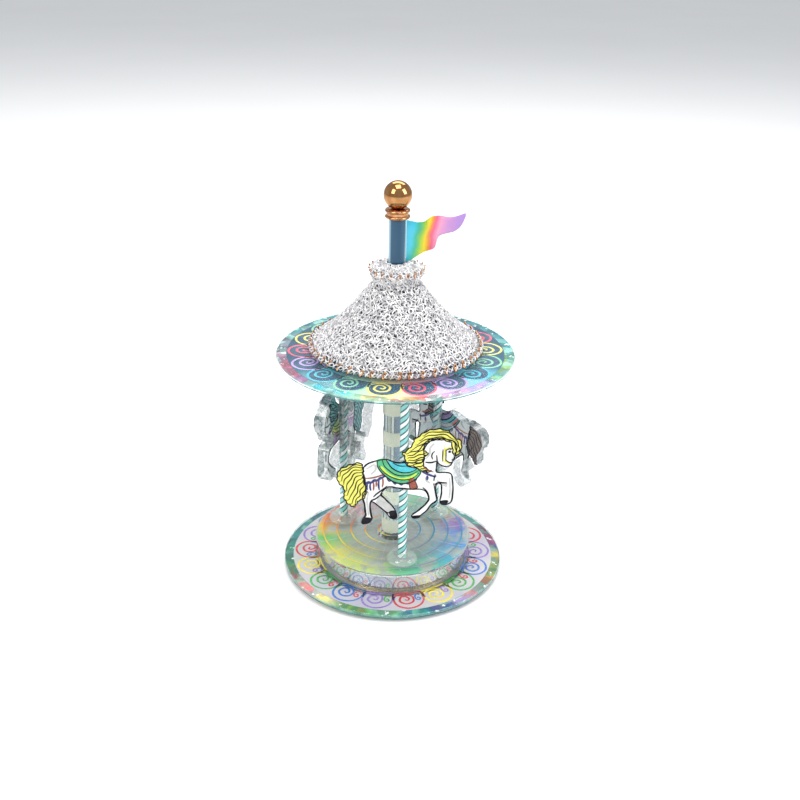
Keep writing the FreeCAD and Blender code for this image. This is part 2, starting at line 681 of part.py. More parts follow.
def make_barrel():
    barrel = turned("spring_barrel", [
        ("arbor_radius + running_gap", "barrel_bottom"), ("barrel_radius", "barrel_bottom"),
        ("barrel_radius", "flange_bottom"), ("crown_radius + crown_face / 2 + 0.2", "flange_bottom"),
        ("crown_radius + crown_face / 2 + 0.2", "lid_bottom"), ("barrel_radius - barrel_wall", "lid_bottom"),
        ("barrel_radius - barrel_wall", "barrel_bottom + barrel_wall"),
        ("arbor_radius + running_gap", "barrel_bottom + barrel_wall")])
    tooth = new_sketch(barrel, "crown_tooth_outline", offset="flange_bottom + 0.1")
    inner = "barrel_radius - 0.1"
    outer = "crown_radius + crown_face / 2"
    draw_polygon(tooth, [(inner, "-crown_tooth_width / 2"), (outer, "-crown_tooth_width / 2"),
                         (outer, "crown_tooth_width / 2"), (inner, "crown_tooth_width / 2")])
    one = padded(barrel, "crown_tooth", tooth, "crown_tooth_height + 0.1", reverse=True)
    repeated(barrel, "crown_teeth_ring", one, tooth, "crown_teeth")
    # half a pitch round, so that a gap faces the pinion's upper tooth
    barrel.Placement = FreeCAD.Placement(FreeCAD.Vector(), FreeCAD.Rotation(Z_AXIS, 1))
    bind(barrel, "Placement.Rotation.Angle", "180 / crown_teeth")
    node(barrel, "spring_barrel")

    lid = turned("barrel_lid", [
        ("arbor_pivot_radius + running_gap", "lid_bottom"), ("barrel_radius", "lid_bottom"),
        ("barrel_radius", "lid_bottom + lid_thickness"),
        ("arbor_pivot_radius + running_gap", "lid_bottom + lid_thickness")])
    node(lid, "barrel_lid")


def make_mainspring():
    """A flat spiral strip of half circles, hooked on the arbor's core and ending at the barrel wall."""
    strip = value("mainspring_strip")
    pitch = value("mainspring_pitch")
    inner = value("arbor_core_radius") + value("running_gap") + strip
    outer = value("barrel_radius") - value("barrel_wall") - strip
    half_turns = int((outer - inner) / (pitch / 2)) - 1
    bottom = value("barrel_bottom") + value("barrel_wall") + 0.3
    top = value("lid_bottom") - 0.3

    def half_circle(index, radius):
        centre = FreeCAD.Vector(pitch / 2 if index % 2 else 0, 0, 0)
        side = 1 if index % 2 == 0 else -1
        ends = [centre + FreeCAD.Vector(side * radius, 0, 0), centre + FreeCAD.Vector(-side * radius, 0, 0)]
        middle = centre + FreeCAD.Vector(0, side * radius, 0)
        return Part.Arc(ends[0], middle, ends[1]), ends

    edges = []
    outside = [half_circle(k, inner + k * pitch / 2 + strip / 2) for k in range(half_turns)]
    inside = [half_circle(k, inner + k * pitch / 2 - strip / 2) for k in range(half_turns)]
    edges += [arc.toShape() for arc, ends in outside]
    edges.append(Part.LineSegment(outside[-1][1][1], inside[-1][1][1]).toShape())
    edges += [arc.toShape() for arc, ends in reversed(inside)]
    edges.append(Part.LineSegment(inside[0][1][0], outside[0][1][0]).toShape())
    strip_face = Part.Face(Part.Wire(Part.__sortEdges__(edges)))
    shape = strip_face.extrude(FreeCAD.Vector(0, 0, top - bottom))
    node(feature("mainspring", shape, FreeCAD.Placement(FreeCAD.Vector(0, 0, bottom),
                                                       FreeCAD.Rotation())), "mainspring")


def hub_screw_spots():
    return [on_circle("hub_screw_circle", degrees) for degrees in (0, 120, 240)]


def make_turntable():
    hub = new_body("turntable_hub")
    sketch = new_sketch(hub, "hub_outline")
    draw_circle(sketch, "hub_radius")
    for spot in hub_screw_spots():
        draw_circle(sketch, "small_screw_radius", *spot)
    padded(hub, "hub_pad", sketch, "hub_height")
    place(hub, z="lid_bottom + lid_thickness")
    node(hub, "turntable_hub")

    plate = new_body("turntable")
    outline = new_sketch(plate, "turntable_outline")
    draw_circle(outline, "turntable_radius")
    for spot in hub_screw_spots():
        draw_circle(outline, "small_screw_radius", *spot)
    padded(plate, "turntable_pad", outline, "turntable_thickness")
    sinks = new_sketch(plate, "turntable_sinks", offset="turntable_thickness")
    for spot in hub_screw_spots():
        draw_circle(sinks, "small_head_radius + running_gap", *spot)
    pocket = plate.newObject("PartDesign::Pocket", "turntable_sink_pocket")
    pocket.Profile = sinks
    bind(pocket, "Length", "small_head_height")
    place(plate, z="turntable_bottom")
    node(plate, "turntable")

    node(screws("hub_screws", hub_screw_spots(), "small_head_radius", "small_head_height",
                "small_screw_radius", "turntable_thickness - small_head_height + hub_height",
                "mirror_bottom - small_head_height"), "hub_screws")


def make_tune_cylinder():
    length = value("cylinder_length")
    bore = value("cylinder_arbor_radius")
    radius = value("cylinder_radius")
    notes = int(value("note_count"))
    pitch = (length - 0.4) / notes
    drum = Part.makeCylinder(radius, length, FreeCAD.Vector(), X_AXIS)
    drum = drum.cut(Part.makeCylinder(bore, length, FreeCAD.Vector(), X_AXIS))
    pins = []
    for note in range(notes):
        for beat in range(4):
            angle = math.radians((note * 137 + beat * 83 + note * beat * 29) % 360)
            outward = FreeCAD.Vector(0, math.cos(angle), math.sin(angle))
            foot = FreeCAD.Vector(0.2 + (note + 0.65) * pitch, 0, 0) + outward * (radius - 0.2)
            pins.append(Part.makeCylinder(value("pin_radius"), value("pin_height") + 0.2, foot, outward))
    spot = FreeCAD.Vector(value("cylinder_start"), 0, value("tune_axis"))
    cylinder = feature("tune_cylinder", drum.fuse(pins), FreeCAD.Placement(spot, FreeCAD.Rotation()))
    node(cylinder, "tune_cylinder")

    start = "crown_radius - crown_face / 2 - 0.05"
    node(rod("tune_arbor_rod", "cylinder_arbor_radius",
             "outer_bearing + bearing_thickness + 0.3 - (%s)" % start, start, "0", "tune_axis", "x"), "tune_arbor")

    pinion = gear("tune_pinion", "YZ_Plane", "pinion_teeth", "pinion_radius - dedendum",
                  "pinion_radius + addendum", "pinion_tooth_width", "cylinder_arbor_radius",
                  "crown_face - 0.2")
    # the first tooth points up, into the crown teeth
    place(pinion, "crown_radius - crown_face / 2 + 0.2", "0", "tune_axis", (X_AXIS, 90))
    node(pinion, "tune_pinion")

    wheel = gear("tune_wheel", "YZ_Plane", "wheel_teeth", "wheel_radius - fine_dedendum",
                 "wheel_radius + fine_addendum", "fine_tooth_width", "cylinder_arbor_radius",
                 "bearing_thickness")
    place(wheel, "wheel_start", "0", "tune_axis")
    node(wheel, "tune_wheel")


def make_governor():
    start = "wheel_start - 0.1"
    node(rod("governor_arbor_rod", "governor_arbor_radius", "frame_upright + bearing_thickness - (%s)" % start,
             start, "governor_axis", "tune_axis", "x"), "governor_arbor")

    pinion = gear("governor_pinion", "YZ_Plane", "governor_teeth", "governor_radius - fine_addendum - 0.04",
                  "governor_radius + fine_addendum", "fine_tooth_width", "governor_arbor_radius",
                  "bearing_thickness")
    # half a pitch round, so that a gap faces the wheel's tooth
    place(pinion, "wheel_start", "governor_axis", "tune_axis", (X_AXIS, 30))
    bind(pinion, "Placement.Rotation.Angle", "180 / governor_teeth")
    node(pinion, "governor_pinion")

    wheel = gear("worm_wheel", "YZ_Plane", "worm_wheel_teeth", "worm_wheel_radius - fine_dedendum",
                 "worm_wheel_radius + fine_addendum", "fine_tooth_width", "governor_arbor_radius",
                 "bearing_thickness")
    place(wheel, "worm_wheel_start", "governor_axis", "tune_axis")
    node(wheel, "worm_wheel")


def coil(radius, pitch, height, section):
    """A section wire swept along a right-hand helix that starts on the +X side."""
    helix = Part.makeHelix(pitch, height, radius)
    return Part.Wire(helix).makePipeShell([section], True, True)


def make_worm():
    pitch = math.tau * value("worm_wheel_radius") / value("worm_wheel_teeth")
    core = value("worm_core")
    tip = value("worm_radius") + value("fine_addendum")
    length = value("worm_length")
    middle = value("tune_axis")
    low = value("bed_top") + value("frame_arm")
    high = value("frame_top") - value("frame_arm")
    end_gap = value("end_gap")
    # the thread starts so that a gap faces the worm wheel's tooth at the height of its arbor
    start = middle - pitch * (0.25 + round(length / 2 / pitch))
    corners = [FreeCAD.Vector(core - 0.1, 0, -0.2), FreeCAD.Vector(tip, 0, -0.08),
               FreeCAD.Vector(tip, 0, 0.08), FreeCAD.Vector(core - 0.1, 0, 0.2)]
    thread = coil(core, pitch, length, Part.makePolygon(corners + corners[:1]))
    thread.translate(FreeCAD.Vector(0, 0, start))
    staff = Part.makeCylinder(core, high - low - 2 * end_gap, FreeCAD.Vector(0, 0, low + end_gap))
    pivots = Part.makeCylinder(value("worm_pivot"), high - low + 1.2, FreeCAD.Vector(0, 0, low - 0.6))
    shape = staff.fuse([pivots, Part.Solid(thread)])
    spot = FreeCAD.Vector(value("worm_x"), value("worm_y"), 0)
    node(feature("governor_worm", shape, FreeCAD.Placement(spot, FreeCAD.Rotation())), "governor_worm")

    bottom = "frame_top - frame_arm - brake_height - 0.5"
    hub = rod("brake_hub", "worm_core + 0.45", "brake_height", "worm_x", "worm_y", bottom)
    blade = block("brake_blades", "2 * brake_radius", "0.25", "brake_height", "worm_x - brake_radius",
                  "worm_y - 0.125", bottom)
    bore = rod("brake_bore", "worm_core", "brake_height + 2", "worm_x", "worm_y", bottom + " - 1")
    node(cut("air_brake", fuse("brake_solid", [hub, blade]), bore), "air_brake")


# ---- turning floor, column and roof --------------------------------------------------------------

def make_floor():
    mirror = turned("floor_mirror", [("0", "mirror_bottom"), ("drum_radius - mirror_inset", "mirror_bottom"),
                                     ("drum_radius - mirror_inset", "floor_bottom"),
                                     ("0", "floor_bottom")])
    node(mirror, "floor_mirror")
    floor = turned("floor_plate", [
        ("0", "floor_bottom"), ("drum_radius", "floor_bottom"),
        ("drum_radius", "floor_top - floor_chamfer"), ("drum_radius - floor_chamfer", "floor_top"),
        ("0", "floor_top")])
    node(floor, "floor_plate")


def tube(name, outer, wall, low, high):
    return turned(name, [("%s - %s" % (outer, wall), low), (outer, low), (outer, high),
                         ("%s - %s" % (outer, wall), high)])


def make_column():
    node(tube("centre_column", "column_radius", "column_wall", "floor_top", "roof_bottom"), "centre_column")
    node(tube("column_core", "column_radius - column_wall - core_gap", "core_wall", "floor_top",
              "roof_bottom"), "column_core")


def make_roof():
    disc = turned("roof_disc", [("0", "roof_bottom"), ("roof_radius", "roof_bottom"),
                                ("roof_radius", "roof_bottom + roof_edge"),
                                ("roof_radius - roof_bevel", "roof_top"), ("0", "roof_top")])
    node(disc, "roof_disc")


# ---- horses --------------------------------------------------------------------------------------

# Outline of a horse that is 68 mm long, nose towards +x: (distance ahead of the pole, height above
# the hooves).  Each stretch is one smooth edge; a stretch starts where the one before it ends.
DRAWN_LENGTH = 68.0
HORSE_STRETCHES = [
    # tail, from its root on the rump round to the hock
    [(-24, 40.5), (-30, 40), (-35.5, 37), (-37.2, 32), (-35.8, 27), (-33.8, 23), (-34.2, 18),
     (-31, 14.5), (-28, 12), (-25.2, 13.8), (-24.3, 17)],
    # near hind leg: back edge, hoof, front edge
    [(-24.3, 17), (-23, 12), (-23.2, 7), (-25.3, 2.5)],
    [(-25.3, 2.5), (-23.3, -0.8), (-19.8, 0), (-17.2, 4)],
    [(-17.2, 4), (-16.6, 8.5), (-17.4, 14)],
    # far hind leg: under edge, hoof, upper edge up to the belly
    [(-17.4, 14), (-13.5, 10.5), (-10.3, 6.5)],
    [(-10.3, 6.5), (-8, 3), (-4.5, 1), (-2.9, 3.2), (-3.8, 7.5)],
    [(-3.8, 7.5), (-6, 11.8), (-10.5, 16), (-13.2, 19), (-9.2, 23.2)],
    # belly
    [(-9.2, 23.2), (-4, 22), (2, 20.8), (8, 20.8)],
    # near foreleg: back edge, hoof, front edge
    [(8, 20.8), (11, 17.5), (12.6, 14.5), (10.8, 11), (7.5, 8.2), (3.7, 6.5)],
    [(3.7, 6.5), (3.4, 3), (5.5, 1.2), (9, 2), (11.8, 4.2)],
    [(11.8, 4.2), (14, 8.2), (16.5, 11)],
    # raised far foreleg
    [(16.5, 11), (19, 9.8), (22.5, 8.8), (26, 10), (28, 13), (27.8, 18), (27.2, 25), (26.5, 29.5),
     (22, 31), (18.5, 31.8)],
    # chest to chin, muzzle, brow and forelock
    [(18.5, 31.8), (18.2, 35), (20, 34.5), (22.5, 33.6), (25.3, 34), (27, 36.5), (28.3, 39.5),
     (30.3, 42), (30.8, 46), (30, 50), (28, 53.5), (25.5, 56.5)],
    # crest of the mane, down in front of the pole
    [(25.5, 56.5), (21, 58.2), (15, 58.5), (9, 57.2), (4.5, 53.8), (3, 50.5), (1.5, 48), (-0.3, 46.5),
     (-1.2, 44), (-1, 41), (0.3, 39.8)],
    # saddle, cantle and rump
    [(0.3, 39.8), (-1.5, 39.2), (-5, 39.4), (-8.5, 42), (-12, 43.8), (-15.3, 42.8), (-20, 41),
     (-24, 40.5)],
]


def horse_plate(lift):
    """One clear plate cut to a horse, lying in the XZ plane, bored for the pole that stands on Z."""
    scale = value("horse_length") / DRAWN_LENGTH
    base = value("horse_clearance") + lift
    edges = [curve([(x * scale, 0, base + z * scale) for x, z in stretch]) for stretch in HORSE_STRETCHES]
    thickness = value("horse_thickness")
    plate = Part.Face(Part.Wire(edges)).extrude(FreeCAD.Vector(0, thickness, 0))
    plate.translate(FreeCAD.Vector(0, -thickness / 2, 0))
    bore = Part.makeCylinder(value("pole_radius") + value("glue_gap"), value("column_height"))
    return plate.cut(bore)


def make_horses():
    feet = []
    for side, lift, yaw in (("front", 0.0, 0.0),
                            ("right", value("horse_right_lift"), value("horse_right_yaw")),
                            ("left", value("horse_left_lift"), 0.0)):
        angle = value("horse_%s_angle" % side)
        radius = value("horse_circle")
        spot = FreeCAD.Vector(radius * math.cos(math.radians(angle)),
                              radius * math.sin(math.radians(angle)), value("floor_top"))
        turn = FreeCAD.Rotation(Z_AXIS, angle + 90 + yaw)
        node(feature("horse_" + side, horse_plate(lift), FreeCAD.Placement(spot, turn)), "horse_" + side)

        x, y = ["horse_circle * %s(horse_%s_angle * 1 deg)" % (wave, side) for wave in ("cos", "sin")]
        seat = "floor_top + pole_foot_height - pole_seat_depth"
        node(rod("pole_%s_rod" % side, "pole_radius", "roof_bottom - (%s)" % seat, x, y, seat),
             "pole_" + side)

        rise = "(pole_foot_radius ^ 2 + pole_foot_height ^ 2) / (2 * pole_foot_height)"
        foot = new_body("pole_foot_" + side)
        outline = new_sketch(foot, "foot_outline_" + side)
        draw_circle(outline, "pole_foot_radius")
        draw_circle(outline, "pole_radius + glue_gap")
        padded(foot, "foot_pad_" + side, outline, "pole_foot_height")
        place(foot, x, y, "floor_top")
        ball = document.addObject("Part::Sphere", "foot_ball_" + side)
        bind(ball, "Radius", rise)
        place(ball, x, y, "floor_top + pole_foot_height - " + rise)
        dome = document.addObject("Part::Common", "foot_dome_" + side)
        dome.Base = foot
        dome.Tool = ball
        plug = rod("foot_plug_" + side, "pole_radius + glue_gap", "pole_foot_height - pole_seat_depth",
                   x, y, "floor_top")
        feet.append(fuse("foot_" + side, [dome, plug]))
    node(group("pole_feet_set", feet), "pole_feet")


# ---- tent, collar, flag and finial ---------------------------------------------------------------

def revolve_outline(edges):
    face = Part.Face(Part.Wire(Part.__sortEdges__(edges)))
    return face.revolve(FreeCAD.Vector(), Z_AXIS, 360)


def vertical_point(radius, height):
    return FreeCAD.Vector(radius, 0, height)


def make_tent():
    wall = value("tent_wall")
    skirt = value("tent_skirt")
    edges = []
    rows = []
    for inset in (0, wall):
        rows.append([vertical_point(value("tent_radius") - inset, 0),
                     vertical_point(value("tent_radius") - inset, skirt),
                     vertical_point(value("tent_waist_radius") - inset, value("tent_waist_height")),
                     vertical_point(value("tent_neck_radius") - inset, value("tent_height"))])
    for foot, hem, waist, neck in rows:
        edges.append(Part.LineSegment(foot, hem).toShape())
        edges.append(Part.Arc(hem, waist, neck).toShape())
    edges.append(Part.LineSegment(rows[0][0], rows[1][0]).toShape())
    edges.append(Part.LineSegment(rows[0][3], rows[1][3]).toShape())
    spot = FreeCAD.Placement(FreeCAD.Vector(0, 0, value("roof_top")), FreeCAD.Rotation())
    node(feature("tent", revolve_outline(edges), spot), "tent")

    rim = document.addObject("Part::Torus", "tent_rim")
    bind(rim, "Radius1", "rim_circle")
    bind(rim, "Radius2", "rim_radius")
    place(rim, z="roof_top + rim_radius")
    node(rim, "tent_rim")


def make_collar():
    """A flared ruffle, open at the top, that stands round the flag pole on the tent's neck."""
    wide = value("collar_radius")
    foot = value("collar_foot_radius")
    height = value("collar_height")
    wall = value("collar_wall")
    outside = Part.Arc(vertical_point(foot, 0), vertical_point(foot + 0.2, height * 0.4),
                       vertical_point(wide, height * 0.82))
    lip = Part.Arc(vertical_point(wide, height * 0.82), vertical_point(wide - wall * 0.35, height),
                   vertical_point(wide - wall, height * 0.9))
    inside = Part.Arc(vertical_point(wide - wall, height * 0.9),
                      vertical_point(foot - wall + 0.2, height * 0.4), vertical_point(foot - wall, 0))
    bottom = Part.LineSegment(vertical_point(foot - wall, 0), vertical_point(foot, 0))
    edges = [part.toShape() for part in (outside, lip, inside, bottom)]
    spot = FreeCAD.Placement(FreeCAD.Vector(0, 0, value("neck_height")), FreeCAD.Rotation())
    node(feature("tent_collar", revolve_outline(edges), spot), "tent_collar")


def make_flag():
    node(tube("flag_pole", "flag_pole_radius", "flag_pole_wall", "roof_top", "ring_bottom"), "flag_pole")

    # pennant, as shares of its length and of its height at the pole
    length = value("flag_length")
    height = value("flag_root_height")
    half = value("flag_thickness") / 2
    start = value("flag_pole_radius") - 0.8
    top = value("ring_bottom") - value("flag_drop")
    ripple = [(0, 0), (0.22, -0.07), (0.42, 0.05), (0.58, 0.08), (0.8, -0.03), (1, 0.02)]
    plan = []
    for side in (-half, half):
        plan.append(curve([(start + along * length, across * length + side, 0)
                           for along, across in ripple]))
    ends = [[edge.valueAt(edge.ParameterRange[k]) for edge in plan] for k in (0, 1)]
    closing = [Part.LineSegment(*pair).toShape() for pair in ends]
    band = Part.Face(Part.Wire(Part.__sortEdges__(plan + closing)))
    sheet_solid = band.extrude(FreeCAD.Vector(0, 0, 2 * height))
    sheet_solid.translate(FreeCAD.Vector(0, 0, top - 1.5 * height))

    upper = [(0, 0), (0.25, -0.12), (0.5, -0.06), (0.75, 0.1), (1, 0.16)]
    lower = [(0, -1), (0.25, -0.78), (0.5, -0.62), (0.75, -0.4), (1, 0.06)]
    sides = [curve([(start + along * length, -length, top + rise * height) for along, rise in side])
             for side in (upper, lower)]
    tips = [[edge.valueAt(edge.ParameterRange[k]) for edge in sides] for k in (0, 1)]
    closing = [Part.LineSegment(*pair).toShape() for pair in tips]
    outline = Part.Face(Part.Wire(Part.__sortEdges__(sides + closing)))
    pennant = sheet_solid.common(outline.extrude(FreeCAD.Vector(0, 2 * length, 0)))
    pole = Part.makeCylinder(value("flag_pole_radius"), 3 * height,
                             FreeCAD.Vector(0, 0, top - 2 * height))
    node(feature("flag", pennant.cut(pole)), "flag")


def make_finial():
    ring = turned("finial_ring", [
        ("finial_ring_bore", "ring_bottom"), ("finial_ring_radius - 1", "ring_bottom"),
        ("finial_ring_radius", "ring_bottom + 0.28 * finial_ring_height"),
        ("finial_ring_radius - 1.2", "ring_bottom + 0.5 * finial_ring_height"),
        ("finial_ring_radius - 0.2", "ring_bottom + 0.72 * finial_ring_height"),
        ("finial_ring_radius - 1.6", "ring_top"), ("finial_ring_bore", "ring_top")])
    node(ring, "finial_ring")
    ball = document.addObject("Part::Sphere", "finial_ball")
    bind(ball, "Radius", "finial_ball_radius")
    place(ball, z="ring_top + sqrt(finial_ball_radius ^ 2 - finial_ring_bore ^ 2)")
    node(ball, "finial_ball")


# ---- build, check and write ----------------------------------------------------------------------

def check_document():
    for thing in document.Objects:
        if "Invalid" in thing.State or "Error" in thing.State:
            raise RuntimeError("%s did not build: %s" % (thing.Label, thing.State))
    for piece in nodes:
        if piece.Shape.isNull() or not piece.Shape.isValid() or not piece.Shape.Solids:
            raise RuntimeError("%s has no valid solid" % piece.Label)
    labels = [piece.Label for piece in nodes]
    if len(set(labels)) != len(labels):
        raise RuntimeError("two sub-parts share a label")
    bed = document.getObject("movement_bed").Shape.Volume
    if bed > math.pi * value("bed_radius") ** 2 * value("bed_thickness") - 300:
        raise RuntimeError("the well was not cut into the bed")


def write_parts():
    os.makedirs("parts", exist_ok=True)
    for piece in nodes:
        piece.Shape.exportStep("parts/%s.step" % piece.Label)
        print("%-20s volume %9.2f mm3, solids %d" % (piece.Label, piece.Shape.Volume,
                                                     len(piece.Shape.Solids)))


make_base()
make_bed()
make_bearings()
make_comb()
make_governor_frame()
make_clutch_spring()
make_winding_arbor()
make_key()
make_barrel()
make_mainspring()
make_turntable()
make_tune_cylinder()
make_governor()
make_worm()
make_floor()
make_column()
make_roof()
make_horses()
make_tent()
make_collar()
make_flag()
make_finial()
document.recompute()
check_document()
write_parts()
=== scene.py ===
# Carousel music box: printed glass base and roof, mirrored drum, three printed acrylic horses on
# striped poles, a spun-glass tent and a rainbow pennant under a gilt ball.
import math
import random

import bpy
from mathutils import Matrix, Vector, geometry


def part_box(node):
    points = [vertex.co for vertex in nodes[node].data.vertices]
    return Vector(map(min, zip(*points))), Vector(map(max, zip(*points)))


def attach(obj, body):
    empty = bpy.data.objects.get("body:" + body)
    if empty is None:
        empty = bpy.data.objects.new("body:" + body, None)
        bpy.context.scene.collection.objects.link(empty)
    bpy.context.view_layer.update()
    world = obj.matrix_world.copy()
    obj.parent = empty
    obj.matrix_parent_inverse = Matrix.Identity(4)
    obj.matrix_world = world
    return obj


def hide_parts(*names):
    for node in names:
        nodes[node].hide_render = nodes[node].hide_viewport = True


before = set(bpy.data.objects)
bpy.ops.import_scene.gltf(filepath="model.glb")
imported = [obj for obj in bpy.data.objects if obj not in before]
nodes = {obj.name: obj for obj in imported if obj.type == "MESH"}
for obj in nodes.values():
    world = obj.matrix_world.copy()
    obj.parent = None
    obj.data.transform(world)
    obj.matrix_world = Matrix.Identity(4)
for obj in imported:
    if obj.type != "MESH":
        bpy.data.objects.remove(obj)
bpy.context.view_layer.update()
scene = bpy.context.scene
mm = 0.001  # lengths in the dictionaries are millimetres
turn = math.tau
horseSides = ("front", "right", "left")


def topOf(node):
    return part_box(node)[1].z / mm


def footOf(node):
    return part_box(node)[0].z / mm


def radiusOf(node):
    low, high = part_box(node)
    return (high.x - low.x) / 2 / mm


def centreOf(node):
    low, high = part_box(node)
    return (low.x + high.x) / 2 / mm, (low.y + high.y) / 2 / mm


class Shape:
    # collects points and faces, and the finish of each face
    def __init__(self):
        self.points = []
        self.faces = []
        self.finish = []

    def add(self, points, faces, finish=0):
        start = len(self.points)
        self.points += [tuple(p) for p in points]
        self.faces += [tuple(start + k for k in face) for face in faces]
        self.finish += [finish] * len(faces)

    def place(self, matrix):
        self.points = [tuple(matrix @ Vector(p)) for p in self.points]

    def mesh(self, name):
        mesh = bpy.data.meshes.new(name)
        mesh.from_pydata([(x * mm, y * mm, z * mm) for x, y, z in self.points], [], self.faces)
        return mesh


def makePiece(name, shape, finishes, body, crisp=35, replaces=()):
    mesh = shape.mesh(name)
    for finish in finishes:
        mesh.materials.append(finish)
    mesh.polygons.foreach_set("material_index", shape.finish)
    mesh.polygons.foreach_set("use_smooth", [True] * len(mesh.polygons))
    mesh.set_sharp_from_angle(angle=math.radians(crisp))
    mesh.update()
    piece = bpy.data.objects.new(name, mesh)
    scene.collection.objects.link(piece)
    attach(piece, body)
    if replaces:
        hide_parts(*replaces)


def dress(node, finish):
    # gives a CAD node its finish
    node.data.materials.clear()
    node.data.materials.append(finish)


def sizesOf(node):
    return radiusOf(node), footOf(node), topOf(node)


def lathe(shape, outline, steps, centre=(0, 0), finishAt=None):
    # turns a closed outline of (radius, height) points; points on the axis are shared
    rings = []
    for r, z in outline:
        if r < 1e-6:
            rings.append([len(shape.points)] * steps)
            shape.points.append((centre[0], centre[1], z))
            continue
        rings.append([len(shape.points) + k for k in range(steps)])
        for k in range(steps):
            a = turn * k / steps
            shape.points.append((centre[0] + r * math.cos(a), centre[1] + r * math.sin(a), z))
    count = len(outline)
    for i in range(count):
        here, there = rings[i], rings[(i + 1) % count]
        if here[0] == here[-1] and there[0] == there[-1]:
            continue
        for k in range(steps):
            n = (k + 1) % steps
            quad = [here[k], here[n], there[n], there[k]]
            face = [p for j, p in enumerate(quad) if p not in quad[:j]]
            shape.faces.append(tuple(face))
            shape.finish.append(finishAt(i, k) if finishAt else 0)


def easeCorners(outline, ease, bend=12):
    # rounds the corners of a closed outline a little, so that edges catch light
    eased = []
    count = len(outline)
    for i, here in enumerate(outline):
        before, after = outline[i - 1], outline[(i + 1) % count]
        inX, inZ = here[0] - before[0], here[1] - before[1]
        outX, outZ = after[0] - here[0], after[1] - here[1]
        inLong, outLong = math.hypot(inX, inZ), math.hypot(outX, outZ)
        if here[0] < 1e-6 or inLong < 1e-6 or outLong < 1e-6:
            eased.append(here)
            continue
        angle = abs(math.degrees(math.atan2(inX * outZ - inZ * outX, inX * outX + inZ * outZ)))
        if angle < bend:
            eased.append(here)
            continue
        size = min(ease, inLong * 0.2, outLong * 0.2)
        a = (here[0] - inX / inLong * size, here[1] - inZ / inLong * size)
        b = (here[0] + outX / outLong * size, here[1] + outZ / outLong * size)
        middle = ((a[0] + b[0]) / 4 + here[0] / 2, (a[1] + b[1]) / 4 + here[1] / 2)
        # a loop a little further in keeps the flats flat
        before = (here[0] - inX / inLong * size * 2, here[1] - inZ / inLong * size * 2)
        after = (here[0] + outX / outLong * size * 2, here[1] + outZ / outLong * size * 2)
        eased += [before, a, middle, b, after]
    return eased


def smoothLine(points, steps=6, closed=False):
    # a soft curve through a few points
    count = len(points)
    spans = count if closed else count - 1
    line = []
    for i in range(spans):
        if closed:
            p = [points[(i + k) % count] for k in (-1, 0, 1, 2)]
        else:
            p = [points[max(i - 1, 0)], points[i], points[i + 1], points[min(i + 2, count - 1)]]
        for s in range(steps):
            t = s / steps
            line.append(tuple(
                0.5 * (2 * b + (c - a) * t + (2 * a - 5 * b + 4 * c - d) * t * t
                       + (3 * b - a - 3 * c + d) * t ** 3)
                for a, b, c, d in zip(*p)))
    if not closed:
        line.append(tuple(points[-1]))
    return line


def wire(shape, line, radius, sides=5, closed=False, finish=0):
    # a round thread along a line of points
    line = [Vector(p) for p in line]
    count = len(line)
    normal = None
    points = []
    for i, here in enumerate(line):
        before = line[i - 1] if (i or closed) else here
        after = line[(i + 1) % count] if (i < count - 1 or closed) else here
        along = (after - before).normalized()
        if normal is None:
            normal = along.orthogonal().normalized()
        normal = (normal - along * normal.dot(along)).normalized()
        across = along.cross(normal)
        for k in range(sides):
            a = turn * k / sides
            points.append(here + (normal * math.cos(a) + across * math.sin(a)) * radius)
    faces = []
    for i in range(count if closed else count - 1):
        j = (i + 1) % count
        for k in range(sides):
            n = (k + 1) % sides
            faces.append((i * sides + k, i * sides + n, j * sides + n, j * sides + k))
    if not closed:
        faces.append(tuple(range(sides))[::-1])
        faces.append(tuple((count - 1) * sides + k for k in range(sides)))
    shape.add(points, faces, finish)


def strokeLine(shape, line, width, low, high, finish=0, closed=False, taper=0.0):
    # a line of enamel with a flat foot and a slightly narrower top, lying flat
    count = len(line)
    points = []
    for i, here in enumerate(line):
        before = line[i - 1] if (i or closed) else here
        after = line[(i + 1) % count] if (i < count - 1 or closed) else here
        dx, dy = after[0] - before[0], after[1] - before[1]
        length = math.hypot(dx, dy) or 1.0
        nx, ny = -dy / length, dx / length
        share = i / max(count - 1, 1)
        wide = width / 2 * (1 - taper * abs(2 * share - 1) ** 2)
        crown = wide * 0.82
        for side, z in ((wide, low), (crown, high), (-crown, high), (-wide, low)):
            points.append((here[0] + nx * side, here[1] + ny * side, z))
    faces = []
    for i in range(count if closed else count - 1):
        j = (i + 1) % count
        for k in range(4):
            n = (k + 1) % 4
            faces.append((i * 4 + k, i * 4 + n, j * 4 + n, j * 4 + k))
    if not closed:
        faces += [(3, 2, 1, 0), tuple((count - 1) * 4 + k for k in range(4))]
    shape.add(points, faces, finish)


def patch(shape, outline, low, high, finish=0):
    # a thin filled patch of enamel, lying flat
    count = len(outline)
    foot = [(x, y, low) for x, y in outline]
    top = [(x, y, high) for x, y in outline]
    triangles = geometry.tessellate_polygon([[Vector(p) for p in top]])
    area = sum(outline[i - 1][0] * outline[i][1] - outline[i][0] * outline[i - 1][1]
               for i in range(count))
    faces = []
    for tri in triangles:
        a, b, c = [Vector(top[k]) for k in tri]
        up = (b - a).cross(c - a).z > 0
        tri = tuple(tri) if up else tuple(tri)[::-1]
        faces.append(tuple(count + k for k in tri))
        faces.append(tuple(tri)[::-1])
    for i in range(count):
        n = (i + 1) % count
        side = (i, n, count + n, count + i)
        faces.append(side if area > 0 else side[::-1])
    shape.add(foot + top, faces, finish)


